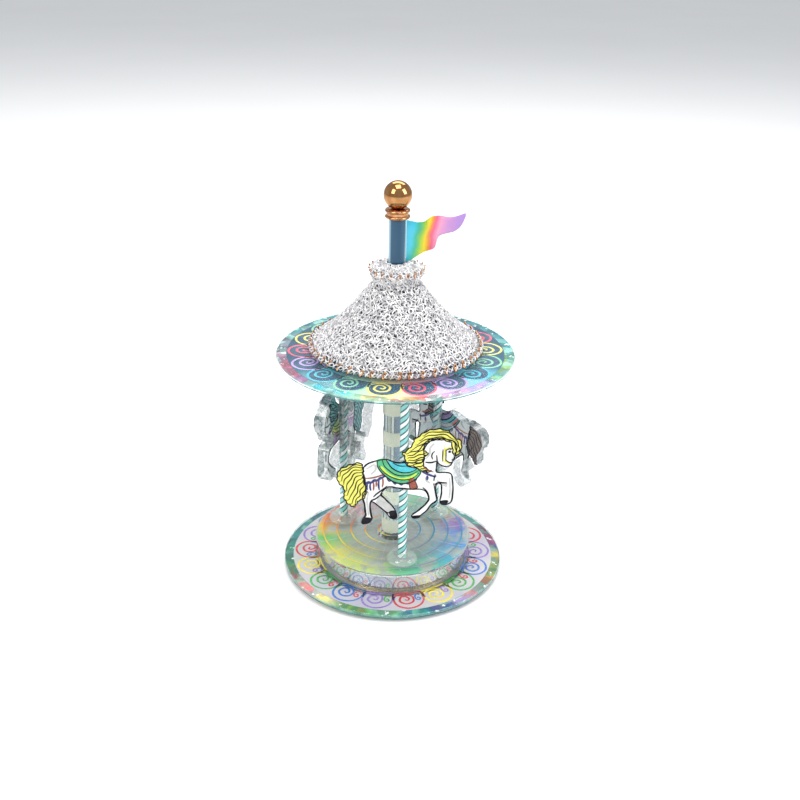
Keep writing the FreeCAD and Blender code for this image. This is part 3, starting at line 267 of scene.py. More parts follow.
def around(line, radius, degrees):
    # puts a flat drawing, x along the rim and y outwards, at a place on a disc
    start = math.radians(degrees)
    placed = []
    for x, y in line:
        a = start + x / radius
        placed.append(((radius + y) * math.cos(a), (radius + y) * math.sin(a)))
    return placed


class Finish:
    # a material with its nodes to hand
    def __init__(self, name, **sockets):
        self.material = bpy.data.materials.new(name)
        self.material.use_nodes = True
        self.tree = self.material.node_tree
        self.shader = self.tree.nodes["Principled BSDF"]
        for socket, amount in sockets.items():
            self.shader.inputs[socket.replace("_", " ")].default_value = amount

    def node(self, kind, **settings):
        made = self.tree.nodes.new(kind)
        for name, amount in settings.items():
            if name in made.inputs:
                made.inputs[name].default_value = amount
            else:
                setattr(made, name, amount)
        return made

    def link(self, start, end):
        self.tree.links.new(start, end)

    def place(self):
        return self.node("ShaderNodeTexCoord").outputs["Object"]

    def noise(self, scale, detail=3, rough=0.5):
        made = self.node("ShaderNodeTexNoise", Scale=scale, Detail=detail, Roughness=rough)
        self.link(self.place(), made.inputs["Vector"])
        return made.outputs["Fac"]

    def shades(self, driver, stops):
        ramp = self.node("ShaderNodeValToRGB")
        ramp.color_ramp.interpolation = "LINEAR"
        while len(ramp.color_ramp.elements) < len(stops):
            ramp.color_ramp.elements.new(0.5)
        for element, (position, colour) in zip(ramp.color_ramp.elements, stops):
            element.position = position
            element.color = (*colour, 1)
        self.link(driver, ramp.inputs["Fac"])
        return ramp.outputs["Color"]

    def range(self, driver, low, high, newLow, newHigh):
        made = self.node("ShaderNodeMapRange")
        ends = {"From Min": low, "From Max": high, "To Min": newLow, "To Max": newHigh}
        for name, amount in ends.items():
            made.inputs[name].default_value = amount
        self.link(driver, made.inputs["Value"])
        return made.outputs["Result"]

    def sum(self, kind, first, second):
        made = self.node("ShaderNodeMath", operation=kind)
        for k, item in enumerate((first, second)):
            if isinstance(item, (int, float)):
                made.inputs[k].default_value = item
            else:
                self.link(item, made.inputs[k])
        return made.outputs[0]

    def mix(self, amount, first, second):
        made = self.node("ShaderNodeMix", data_type="RGBA", blend_type="MIX")
        for name, item in (("Factor", amount), ("A", first), ("B", second)):
            socket = [s for s in made.inputs if s.name == name and s.enabled][0]
            if isinstance(item, tuple):
                socket.default_value = (*item, 1)
            else:
                self.link(item, socket)
        return [s for s in made.outputs if s.enabled][0]

    def colour(self, socket):
        self.link(socket, self.shader.inputs["Base Color"])

    def rough(self, scale, low, high):
        self.link(self.range(self.noise(scale), 0.3, 0.7, low, high),
                  self.shader.inputs["Roughness"])

    def alpha(self, socket):
        self.link(socket, self.shader.inputs["Alpha"])

    def bump(self, height, strength, distance):
        made = self.node("ShaderNodeBump", Strength=strength, Distance=distance)
        self.link(height, made.inputs["Height"])
        self.link(made.outputs["Normal"], self.shader.inputs["Normal"])

    def split(self, socket):
        made = self.node("ShaderNodeSeparateXYZ")
        self.link(socket, made.inputs[0])
        return made.outputs

    def angle(self):
        # the angle about the upright axis, from 0 to 1
        at = self.split(self.place())
        angle = self.sum("ARCTAN2", at["Y"], at["X"])
        share = self.sum("DIVIDE", angle, turn)
        return self.sum("FRACT", self.sum("ADD", share, 1.0), 0.0)

    def radius(self):
        at = self.split(self.place())
        squares = self.sum("ADD", self.sum("MULTIPLY", at["X"], at["X"]),
                           self.sum("MULTIPLY", at["Y"], at["Y"]))
        return self.sum("SQRT", squares, 0.0)


def twoTone(name, scale, tones, detail=3, **sockets):
    # a finish whose colour wanders between two close tones
    finish = Finish(name, **sockets)
    finish.colour(finish.shades(finish.noise(scale, detail), list(zip((0.3, 0.7), tones))))
    return finish


def hueRound(finish, stops, scale, stray):
    # colours that follow each other round the upright axis, with an uneven edge
    shift = finish.range(finish.noise(scale, 2), 0.3, 0.7, -stray, stray)
    share = finish.sum("FRACT", finish.sum("ADD", finish.angle(), shift), 0.0)
    return finish.shades(share, stops)


def enamel(name, colour, gloss=0.25, vary=0.16):
    # screen-printed enamel: one hue, a little uneven in depth
    deep = tuple(c * (1 - vary) for c in colour)
    light = tuple(min(1, c * (1 + vary * 0.5) + 0.02) for c in colour)
    finish = twoTone(name, 260, (deep, light), Roughness=gloss, IOR=1.5)
    finish.rough(900, gloss * 0.8, gloss * 1.3)
    return finish.material


def clearGlass(name, tint, shade, body, shine=1.7, rough=0.03, scale=60):
    # a veil of tint that lets light straight through, with a strong surface shine
    finish = twoTone(name, scale, (tint, shade), Roughness=rough, IOR=shine)
    finish.alpha(finish.range(finish.noise(scale * 1.9, 3), 0.3, 0.7, body * 0.6, body * 1.4))
    return finish.material


def metal(name, dark, light, low, high, scale=700, grain=0.0):
    finish = twoTone(name, scale, (dark, light), 4, Metallic=1.0)
    finish.rough(scale * 1.6, low, high)
    if grain:
        finish.bump(finish.noise(scale * 4, 2), grain, 0.00005)
    return finish.material


view = {"place": (0, -0.52424, 0.35079), "target": (0, 0, 0.1017),  # metres
        "lens": 47.88, "shift": 0.0066, "roll": 0.9}


def makeCamera():
    camera = bpy.data.objects.new("camera", bpy.data.cameras.new("camera"))
    scene.collection.objects.link(camera)
    camera.data.lens = view["lens"]
    camera.data.sensor_width = 36
    camera.data.shift_x = view["shift"]
    camera.data.clip_start = 0.01
    aim = (Vector(view["target"]) - Vector(view["place"])).to_track_quat("-Z", "Y")
    camera.matrix_world = (Matrix.Translation(view["place"]) @ aim.to_matrix().to_4x4()
                           @ Matrix.Rotation(math.radians(view["roll"]), 4, "Z"))
    scene.camera = camera


studio = {
    "floor": 8.0,  # metres
    "lamps": [  # place, width, height, watts, colour
        ((-0.9, -0.9, 1.1), 0.7, 0.9, 12, (1.0, 0.99, 0.97)),
        ((1.1, -0.5, 0.9), 0.6, 0.9, 9, (0.97, 0.99, 1.0)),
        ((0.1, 0.9, 1.3), 1.4, 0.6, 12, (1, 1, 1)),
        ((0.05, -0.2, 1.7), 0.9, 0.9, 12, (1, 1, 1)),
    ],
    "sky": 0.62, "skyColour": (0.94, 0.97, 1.0, 1),
    "aim": (0, 0, 0.1),
}


def makeStudio():
    half = studio["floor"] / 2
    corners = [(-half, -half, 0), (half, -half, 0), (half, half, 0), (-half, half, 0)]
    mesh = bpy.data.meshes.new("studio_floor")
    mesh.from_pydata(corners, [], [(0, 1, 2, 3)])
    floor = bpy.data.objects.new("studio_floor", mesh)
    scene.collection.objects.link(floor)
    paper = twoTone("studio_paper", 3, ((0.92, 0.92, 0.92), (0.94, 0.94, 0.94)), 2, Roughness=0.9)
    mesh.materials.append(paper.material)
    for number, (place, width, height, watts, colour) in enumerate(studio["lamps"]):
        lamp = bpy.data.lights.new("lamp%d" % number, "AREA")
        lamp.shape = "RECTANGLE"
        lamp.size, lamp.size_y = width, height
        lamp.energy = watts
        lamp.color = colour
        piece = bpy.data.objects.new("lamp%d" % number, lamp)
        scene.collection.objects.link(piece)
        aim = (Vector(studio["aim"]) - Vector(place)).to_track_quat("-Z", "Y")
        piece.matrix_world = Matrix.Translation(place) @ aim.to_matrix().to_4x4()
    world = bpy.data.worlds.new("studio")
    world.use_nodes = True
    background = world.node_tree.nodes["Background"]
    background.inputs["Color"].default_value = studio["skyColour"]
    background.inputs["Strength"].default_value = studio["sky"]
    scene.world = world
    scene.view_settings.view_transform = "Standard"


makeCamera()
makeStudio()
print("camera and studio set")


hues = {
    "red": (0.58, 0.005, 0.03), "yellow": (0.84, 0.70, 0.02), "green": (0.04, 0.36, 0.06),
    "blue": (0.02, 0.14, 0.50), "purple": (0.25, 0.15, 0.48),
    "softRed": (0.78, 0.10, 0.18), "softYellow": (0.86, 0.78, 0.20), "softMint": (0.25, 0.62, 0.42),
    "softTeal": (0.06, 0.48, 0.60), "softLavender": (0.50, 0.34, 0.72),
}
inks = {name: enamel("enamel_" + name, colour) for name, colour in hues.items()}
glassClear = clearGlass("glass_clear", (0.70, 0.84, 0.82), (0.92, 0.97, 0.96), 0.08, 1.8)

swirl = {
    "count": 18, "width": 1.3, "ease": 1.6, "accentShare": 0.75, "foot": 0.04, "top": 0.10,
    # one snail: a squared loop whose top edge runs along the drum, wound into a spiral
    "loop": [(10.0, -4.8), (2.0, -4.9), (-6.2, -4.5), (-6.8, 0), (-4.5, 5.5), (0.5, 8.0),
             (6.0, 6.3),
             (9.4, 2.0), (10.0, -4.6)],
    "spiral": [(-6.5, -1.0), (-5.0, -3.0), (0, -4.2), (4.0, -1.5), (3.6, 2.6), (0, 4.2),
               (-3.2, 2.0),
               (-2.6, -1.6), (0, -2.2), (1.8, -0.4), (1.0, 1.2), (-0.6, 0.6)],
    "accent": [(8.6, -1.8), (7.0, -3.0), (5.6, -1.6), (5.4, 0.6), (6.8, 1.9), (8.0, 0.8),
               (7.0, -0.4),
               (6.4, 0.3)],
    "link": [(10.0, -4.8), (10.6, -2.6), (10.6, 1.0)],
}
# hue of each swirl, anticlockwise from the first angle; the second list is its small accent
baseSwirls = {"radius": 47.7, "first": 279.3, "scale": (1.0, 1.05),
              "hues": ["red", "yellow", "green", "blue", "purple"],
              "accents": ["blue", "purple", "red", "red", "green"]}
roofSwirls = {"radius": 47.8, "first": 262.0, "scale": (1.0, 1.15), "fill": (0.02, 0.09, 0.17),
              "hues": ["softYellow", "softRed", "softLavender", "softTeal", "softMint"],
              "accents": []}


def drawSwirls(shape, plan, deep):
    order = plan["hues"]
    pitch = 360 / swirl["count"]
    half = swirl["count"] // 2
    widen, stretch = plan["scale"]
    low, high = deep + swirl["foot"], deep + swirl["top"]
    for number in range(1 - half, half + 1):  # the hues meet out of step at the back
        sway = swirl["ease"] * math.sin(math.radians(number * pitch))
        degrees = plan["first"] + number * pitch + sway
        if "fill" in plan:
            loop = smoothLine([(x, y * stretch) for x, y in swirl["loop"][:-1]], 4, closed=True)
            patch(shape, around(loop, plan["radius"], degrees), low - 0.05, low - 0.01, len(order))
        ink = number % len(order)
        lines = [(part, ink, swirl["width"]) for part in ("loop", "spiral", "link")]
        if plan["accents"]:
            accent = order.index(plan["accents"][ink])
            lines.append(("accent", accent, swirl["width"] * swirl["accentShare"]))
        for part, finish, width in lines:
            drawn = [(x * widen, y * stretch) for x, y in swirl[part]]
            line = around(smoothLine(drawn, 6), plan["radius"], degrees)
            strokeLine(shape, line, width, low, high, finish, taper=0.35)


discCut = {"ease": 0.18, "chamfer": 0.3, "faceEdge": 0.4, "lineTop": 0.9, "steps": 192,
           "filmThick": 0.05}


def discGlass(name, node, plan, body):
    # a bevelled disc; its ground edge is greener than its faces, with a dark line at the foot
    r, low, high = sizesOf(node)
    hole, chamfer, lineTop = plan["hole"], discCut["chamfer"], discCut["lineTop"]
    outline = easeCorners([(hole, low), (r - chamfer, low), (r, low + chamfer), (r, low + lineTop),
                           (r, low + plan["edge"]), (r - plan["bevel"], high), (hole, high)],
                          discCut["ease"])
    after = outline[1:] + outline[:1]

    def finishAt(i, k):
        if min(outline[i][0], after[i][0]) < r - discCut["faceEdge"]:
            return 0
        return 2 if outline[i][1] < low + lineTop - 0.1 else 1

    finishes = [clearGlass(name + "_face", (0.70, 0.88, 0.86), (0.92, 0.98, 0.97), 0.045, 1.8),
                clearGlass(name + "_edge", (0.03, 0.34, 0.30), (0.62, 0.86, 0.76), 0.36, 1.6, 0.08,
                           130),
                clearGlass(name + "_line", (0.01, 0.12, 0.13), (0.03, 0.26, 0.24), 0.9, 1.6, 0.08,
                           130)]
    shape = Shape()
    lathe(shape, outline, discCut["steps"], finishAt=finishAt)
    makePiece(name, shape, finishes, body, crisp=60, replaces=[node])


def bevelFilm(name, node, plan, finish, body):
    # a coloured skin deep under the bevel, from the flat print down to the edge; its finish paints
    # the bevel's refraction of the print, with glints and shade
    r, low, high = sizesOf(node)
    inner, outer = plan["filmOuter"] - 0.3, r - 0.35
    top, foot = high - plan["printDepth"] - 0.1, low + 1.3
    thick = discCut["filmThick"]
    shape = Shape()
    lathe(shape, [(inner, top - thick), (outer, foot - thick), (outer, foot), (inner, top)],
          discCut["steps"])
    makePiece(name, shape, [finish], body, crisp=60)


def printedDisc(name, node, plan, swirls, film, wash, body):
    discGlass(name + "_glass", node, plan, body)
    deep = topOf(node) - plan["printDepth"]  # the prints lie inside, under clear glass
    finishes = [inks[hue] for hue in swirls["hues"]]
    if "fill" in swirls:
        finishes.append(enamel("enamel_midnight", swirls["fill"], 0.25, 0.4))
    shape = Shape()
    drawSwirls(shape, swirls, deep)
    makePiece(name + "_swirls", shape, finishes, body)
    inner, outer, foot = plan["filmInner"], plan["filmOuter"], deep - discCut["filmThick"]
    shape = Shape()
    lathe(shape, [(inner, foot), (outer, foot), (outer, deep), (inner, deep)], 160)
    makePiece(name + "_film", shape, [film], body)
    bevelFilm(name + "_wash", node, plan, wash, body)


def washFinish(name, stops, pale, scale=75):
    # print colour that changes round the disc, broken into shards of painted refraction, with pale
    # slivers and white painted glints between, and patches of painted shade
    finish = Finish(name, Roughness=0.12, IOR=1.6)
    shards = finish.node("ShaderNodeTexVoronoi", feature="F1", Scale=scale * 2.2, Randomness=1.0)
    finish.link(finish.place(), shards.inputs["Vector"])
    pick = finish.split(shards.outputs["Color"])
    shift = finish.range(pick["X"], 0.0, 1.0, -0.028, 0.028)
    share = finish.sum("FRACT", finish.sum("ADD", finish.angle(), shift), 0.0)
    hue = finish.shades(share, stops)
    # white slivers: painted glints
    paintedGlints = finish.range(finish.noise(scale * 3.2, 3, 0.6), 0.63, 0.67, 0.0, 1.0)
    broken = finish.mix(finish.range(pick["Y"], 0.76, 0.80, 0.0, 0.7), hue, pale)
    # darker patches: painted shade
    shadow = finish.range(finish.noise(scale * 1.5, 2), 0.44, 0.56, 0.0, 0.55)
    deeper = finish.mix(shadow, broken, (0.0, 0.03, 0.05))
    finish.colour(finish.mix(paintedGlints, deeper, (0.94, 0.97, 0.96)))
    finish.alpha(finish.range(pick["Z"], 0.0, 1.0, 0.86, 1.0))
    return finish.material


baseDisc = {
    "edge": 2.5, "bevel": 7.0, "hole": 38.0, "printDepth": 3.4, "filmInner": 44.9,
    "filmOuter": 57.5,
    "film": [(0.30, (0.46, 0.44, 0.54)), (0.46, (0.53, 0.51, 0.57)), (0.58, (0.58, 0.54, 0.54)),
             (0.70, (0.44, 0.55, 0.50))],
    # colours the bevel gathers from the print, round the rim from the right-hand side, laid in
    # shards of painted refraction
    "wash": [(0.0, (0.04, 0.10, 0.40)), (0.05, (0.38, 0.02, 0.14)), (0.10, (0.02, 0.30, 0.26)),
             (0.40, (0.01, 0.20, 0.24)), (0.50, (0.02, 0.24, 0.18)), (0.55, (0.02, 0.30, 0.08)),
             (0.59, (0.60, 0.01, 0.03)), (0.63, (0.50, 0.10, 0.02)), (0.66, (0.70, 0.55, 0.02)),
             (0.70, (0.10, 0.42, 0.06)), (0.74, (0.20, 0.55, 0.26)), (0.78, (0.02, 0.32, 0.34)),
             (0.82, (0.03, 0.10, 0.42)), (0.855, (0.22, 0.08, 0.40)), (0.885, (0.60, 0.02, 0.05)),
             (0.92, (0.55, 0.25, 0.02)), (0.95, (0.05, 0.34, 0.08)), (0.98, (0.60, 0.50, 0.04)),
             (1.0, (0.04, 0.10, 0.40))],
    "pale": (0.22, 0.50, 0.34),
}


def makeBase():
    film = Finish("film_lavender", Roughness=0.35, IOR=1.45, Alpha=0.93)
    film.colour(film.shades(film.noise(45, 3), baseDisc["film"]))
    wash = washFinish("painted_refraction_saturated", baseDisc["wash"], baseDisc["pale"])
    printedDisc("base", "base_disc", baseDisc, baseSwirls, film.material, wash, "base")


drum = {"wall": 3, "liner": 0.6, "ease": 0.15, "steps": 160}


def makeDrum():
    r, low, high = sizesOf("drum_wall")
    inner, steps = r - drum["wall"], drum["steps"]
    shape = Shape()
    lathe(shape, easeCorners([(inner, low), (r, low), (r, high), (inner, high)], drum["ease"]),
          steps)
    makePiece("drum_glass", shape, [glassClear], "base", crisp=25,
              replaces=["drum_wall"])

    mirror = twoTone("mirror_silver", 50, ((0.74, 0.78, 0.78), (0.85, 0.86, 0.86)), Metallic=1.0)
    mirror.rough(300, 0.03, 0.09)
    r, low, high = sizesOf("drum_liner")
    inner = r - drum["liner"]
    shape = Shape()
    lathe(shape, [(inner, low), (r, low), (r, high), (inner, high)], steps)
    makePiece("drum_mirror", shape, [mirror.material], "base", crisp=25,
              replaces=["drum_liner"])
    return mirror.material


floorPrint = {
    "rings": [8, 16, 24, 32, 40], "ringWidth": 0.85, "ringRise": 0.06,
    "spokes": 24, "spokeWidth": 0.4, "spokeRise": 0.04, "spokeBend": 0.0025,
    # hues round the floor, anticlockwise from the right-hand side
    "ringHues": [(0.0, (0.03, 0.18, 0.42)), (0.10, (0.02, 0.28, 0.36)), (0.25, (0.10, 0.40, 0.18)),
                 (0.36, (0.62, 0.16, 0.03)), (0.44, (0.62, 0.08, 0.04)), (0.50, (0.72, 0.24, 0.04)),
                 (0.56, (0.78, 0.62, 0.06)), (0.68, (0.66, 0.58, 0.12)), (0.75, (0.26, 0.24, 0.34)),
                 (0.88, (0.20, 0.20, 0.34)), (0.95, (0.04, 0.30, 0.42)), (1.0, (0.03, 0.18, 0.42))],
    "cloudHues": [(0.0, (0.06, 0.22, 0.66)), (0.05, (0.30, 0.12, 0.42)), (0.10, (0.78, 0.62, 0.02)),
                  (0.16, (0.05, 0.45, 0.10)), (0.24, (0.20, 0.55, 0.30)),
                  (0.33, (0.60, 0.42, 0.60)),
                  (0.40, (0.70, 0.05, 0.10)), (0.46, (0.82, 0.52, 0.02)),
                  (0.51, (0.10, 0.55, 0.10)),
                  (0.58, (0.80, 0.74, 0.08)), (0.70, (0.55, 0.72, 0.22)),
                  (0.78, (0.12, 0.55, 0.24)),
                  (0.86, (0.08, 0.52, 0.34)), (0.94, (0.03, 0.40, 0.62)),
                  (1.0, (0.06, 0.22, 0.66))],
    "cloudBetween": (0.60, 0.66, 0.60), "mirrorGap": 0.16,
}


def makeFloor(mirror):
    dress(nodes["floor_mirror"], mirror)
    r, low, high = sizesOf("floor_plate")
    foot = low + floorPrint["mirrorGap"]  # a gap over the mirror keeps the two faces apart
    shape = Shape()
    lathe(shape, easeCorners([(0, foot), (r, foot), (r, high), (0, high)], 0.2), 160)
    glass = clearGlass("glass_floor", (0.52, 0.68, 0.58), (0.90, 0.95, 0.90), 0.05, 1.7)
    makePiece("floor_glass", shape, [glass], "carousel", crisp=25, replaces=["floor_plate"])

    rainbow = Finish("enamel_rainbow", Roughness=0.3, IOR=1.5)
    rainbow.colour(rainbow.shades(rainbow.angle(), floorPrint["ringHues"]))
    shape = Shape()
    for ring in floorPrint["rings"]:
        angles = [turn * k / 120 for k in range(120)]
        circle = [(ring * math.cos(a), ring * math.sin(a)) for a in angles]
        strokeLine(shape, circle, floorPrint["ringWidth"], high, high + floorPrint["ringRise"],
                   closed=True)
    makePiece("floor_rings", shape, [rainbow.material], "carousel")

    shape = Shape()
    for number in range(floorPrint["spokes"]):
        a = turn * number / floorPrint["spokes"]
        bend = floorPrint["spokeBend"]
        line = [(q * math.cos(a + bend * q), q * math.sin(a + bend * q)) for q in range(10, 44, 3)]
        strokeLine(shape, line, floorPrint["spokeWidth"], high, high + floorPrint["spokeRise"])
    makePiece("floor_spokes", shape, [enamel("enamel_grey", (0.40, 0.40, 0.48))], "carousel")

    # clouds of colour under the glass, stronger towards the rim
    clouds = Finish("clouds_rainbow", Roughness=0.25, IOR=1.5)
    hue = hueRound(clouds, floorPrint["cloudHues"], 30, 0.05)
    outward = clouds.range(clouds.radius(), 0.018, 0.038, 0.05, 1.0)
    spots = clouds.range(clouds.noise(62, 3, 0.55), 0.43, 0.53, 0.10, 1.0)
    strength = clouds.sum("MULTIPLY", outward, spots)
    clouds.colour(clouds.mix(strength, floorPrint["cloudBetween"], hue))
    clouds.alpha(clouds.range(strength, 0.0, 1.0, 0.62, 1.0))
    shape = Shape()
    bottom, top, rim = low + 0.04, low + 0.10, r - 1.2
    lathe(shape, [(9, bottom), (rim, bottom), (rim, top), (9, top)], 128)
    makePiece("floor_clouds", shape, [clouds.material], "carousel")


makeBase()
mirrorSilver = makeDrum()
makeFloor(mirrorSilver)
print("base, drum and floor made")


column = {
    "wall": 1.5, "core": 1.0, "inset": 0.5, "steps": 180,
    "bandHeight": 8.2, "pitch": 18.6, "firstBand": 20.2, "windows": 3, "windowTurn": 220,
    # name, noise scale, its two tones and its gloss
    "tones": [("cream", 240, ((0.70, 0.72, 0.55), (0.80, 0.82, 0.68)), 4, 0.4),
              # the steel-blue tone is a painted reflection
              ("blue", 160, ((0.16, 0.24, 0.34), (0.24, 0.33, 0.44)), 3, 0.15),
              ("bar", 260, ((0.12, 0.16, 0.17), (0.20, 0.25, 0.26)), 3, 0.2),
              ("grey_green", 260, ((0.36, 0.41, 0.37), (0.50, 0.55, 0.48)), 3, 0.3),
              ("pale", 200, ((0.68, 0.76, 0.75), (0.82, 0.88, 0.87)), 3, 0.25)],
    # degrees round one repeat of the window, and which tone stands there
    "strips": [(0, 6, 4), (6, 12, 2), (12, 30, 3), (30, 37, 2), (37, 48, 4), (48, 54, 2),
               (54, 108, 1),
               (108, 114, 2), (114, 120, 4)],
}


def makeColumn():
    r, low, high = sizesOf("centre_column")
    inner = r - column["wall"]
    shape = Shape()
    lathe(shape, [(inner, low), (r, low), (r, high), (inner, high)], 96)
    makePiece("column_glass", shape, [glassClear], "carousel", crisp=25,
              replaces=["centre_column"])

    # sleeve inside: cream bands, and between them steel-blue panes, a painted reflection, beside
    # narrow upright bars
    finishes = [twoTone("sleeve_" + name, scale, tones, detail, Roughness=rough).material
                for name, scale, tones, detail, rough in column["tones"]]
    outer = radiusOf("column_core")
    inner = outer - column["core"]
    steps = column["steps"]
    bands = []
    foot = column["firstBand"]
    while foot < high:
        bands.append((foot, min(foot + column["bandHeight"], high)))
        foot += column["pitch"]
    heights = sorted({low, high}.union(*bands))

    def stripAt(i, k):
        if i != 1:
            return 0
        degrees = ((k + 0.5) * 360 / steps - column["windowTurn"]) % (360 / column["windows"])
        return [kind for start, end, kind in column["strips"] if start <= degrees < end][0]

    shape = Shape()
    for bottom, top in zip(heights, heights[1:]):
        middle = (bottom + top) / 2
        inBand = any(a < middle < b for a, b in bands)
        edge = outer if inBand else outer - column["inset"]
        outline = [(inner, bottom), (edge, bottom), (edge, top), (inner, top)]
        lathe(shape, outline, steps, finishAt=None if inBand else stripAt)
    makePiece("column_sleeve", shape, finishes, "carousel", crisp=25,
              replaces=["column_core"])


makeColumn()
print("column made")


pole = {"pitch": 13.4, "starts": 2, "line": 0.15, "row": 0.9, "cells": 12}
poleFoot = {"radius": 8.5, "socket": 2.46, "socketFoot": 1.5, "steps": 64}


def makePoles():
    finishes = [enamel("stripe_teal", (0.24, 0.62, 0.60), 0.12),
                enamel("stripe_white", (0.86, 0.92, 0.90), 0.12, 0.06),
                enamel("stripe_dark", (0.03, 0.13, 0.14), 0.12)]
    # round the rod: where each stripe of one start begins and ends, and its finish
    line = pole["line"]
    stripes = [(0.0, 0.5 - line, 1), (0.5 - line, 0.5, 2), (0.5, 1.0 - line, 0),
               (1.0 - line, 1.0, 2)]
    columns = []
    for start in range(pole["starts"]):
        for share, end, finish in stripes:
            cells = max(1, round((end - share) * pole["cells"]))
            columns += [((start + share + (end - share) * c / cells) / pole["starts"], finish)
                        for c in range(cells)]
    wide = len(columns)
    for side in horseSides:
        node = "pole_" + side
        r, low, high = sizesOf(node)
        cx, cy = centreOf(node)
        shape = Shape()
        rows = int((high - low) / pole["row"])
        for row in range(rows + 1):
            z = low + (high - low) * row / rows
            for share, finish in columns:
                a = turn * (share + (z - low) / pole["pitch"])
                shape.points.append((cx + r * math.cos(a), cy + r * math.sin(a), z))
        for row in range(rows):
            for c in range(wide):
                here, there = row * wide + c, row * wide + (c + 1) % wide
                shape.faces.append((here, there, there + wide, here + wide))
                shape.finish.append(columns[c][1])
        shape.faces.append(tuple(range(wide))[::-1])
        shape.faces.append(tuple(rows * wide + c for c in range(wide)))
        shape.finish += [1, 1]
        makePiece("pole_rod_" + side, shape, finishes, "carousel", replaces=[node])

    feet = Shape()
    low, high = footOf("pole_feet"), topOf("pole_feet")
    angles = [math.radians(q) for q in range(90, 14, -6)]
    dome = [(poleFoot["radius"] * math.sin(a), low + (high - low) * math.cos(a)) for a in angles]
    socket, socketFoot = poleFoot["socket"], low + poleFoot["socketFoot"]
    for side in horseSides:
        lathe(feet, [(0, low)] + dome + [(socket, high), (socket, socketFoot), (0, socketFoot)],
              poleFoot["steps"], centre=centreOf("pole_" + side))
    glass = clearGlass("glass_foot", (0.50, 0.78, 0.60), (0.94, 0.98, 0.95), 0.24, 2.2, 0.04, 260)
    makePiece("pole_domes", feet, [glass], "carousel", crisp=30,
              replaces=["pole_feet"])


makePoles()
print("poles made")


horse = {
    "scale": 67 / 68, "halfThick": 3.2, "clearance": 24.2, "layer": 0.045,
    # widths of the outline and of one hair line, and how much the other pen lines are widened
    "outline": 0.72, "strand": 0.72, "bold": 1.9, "ripple": 0.38,
    # each one: angle round the floor, lift of the plate, turn of the nose, and its inks
    "front": (280, 0.0, 0, {"hair": (0.84, 0.80, 0.12), "blanket": (0.06, 0.42, 0.18),
                            "stripe": (0.50, 0.70, 0.04), "seat": (0.04, 0.48, 0.56),
                            "strap": (0.01, 0.015, 0.14), "rust": (0.27, 0.05, 0.02),
                            "body": (0.82, 0.82, 0.80)}),
    # the back horses' body ink is a little lighter and greener than the front one's: painted light
    # that makes up for the shade their print is seen in from inside the plate
    "right": (38, 4.5, 7, {"hair": (0.25, 0.16, 0.14), "blanket": (0.10, 0.45, 0.50),
                           "stripe": (0.70, 0.12, 0.16), "seat": (0.34, 0.22, 0.48),
                           "strap": (0.12, 0.08, 0.28), "rust": (0.60, 0.16, 0.12),
                           "body": (0.84, 0.86, 0.87)}),
    "left": (158, 4.5, 0, {"hair": (0.16, 0.50, 0.52), "blanket": (0.52, 0.66, 0.16),
                           "stripe": (0.80, 0.80, 0.20), "seat": (0.42, 0.60, 0.18),
                           "strap": (0.36, 0.18, 0.46), "rust": (0.52, 0.24, 0.55),
                           "body": (0.82, 0.88, 0.88)}),
    # how dark the painted refraction on the cut edges of each plate is, and how solid those edges
    # look
    "edges": {"front": (0.34, 0.24), "right": (0.12, 0.60), "left": (0.09, 0.64)},
    "outlined": (0, 3, 4),  # body, mane and tail
    "inks": ["body", "hair", "blanket", "stripe", "seat", "strap", "rust", "black", "shade"],
}
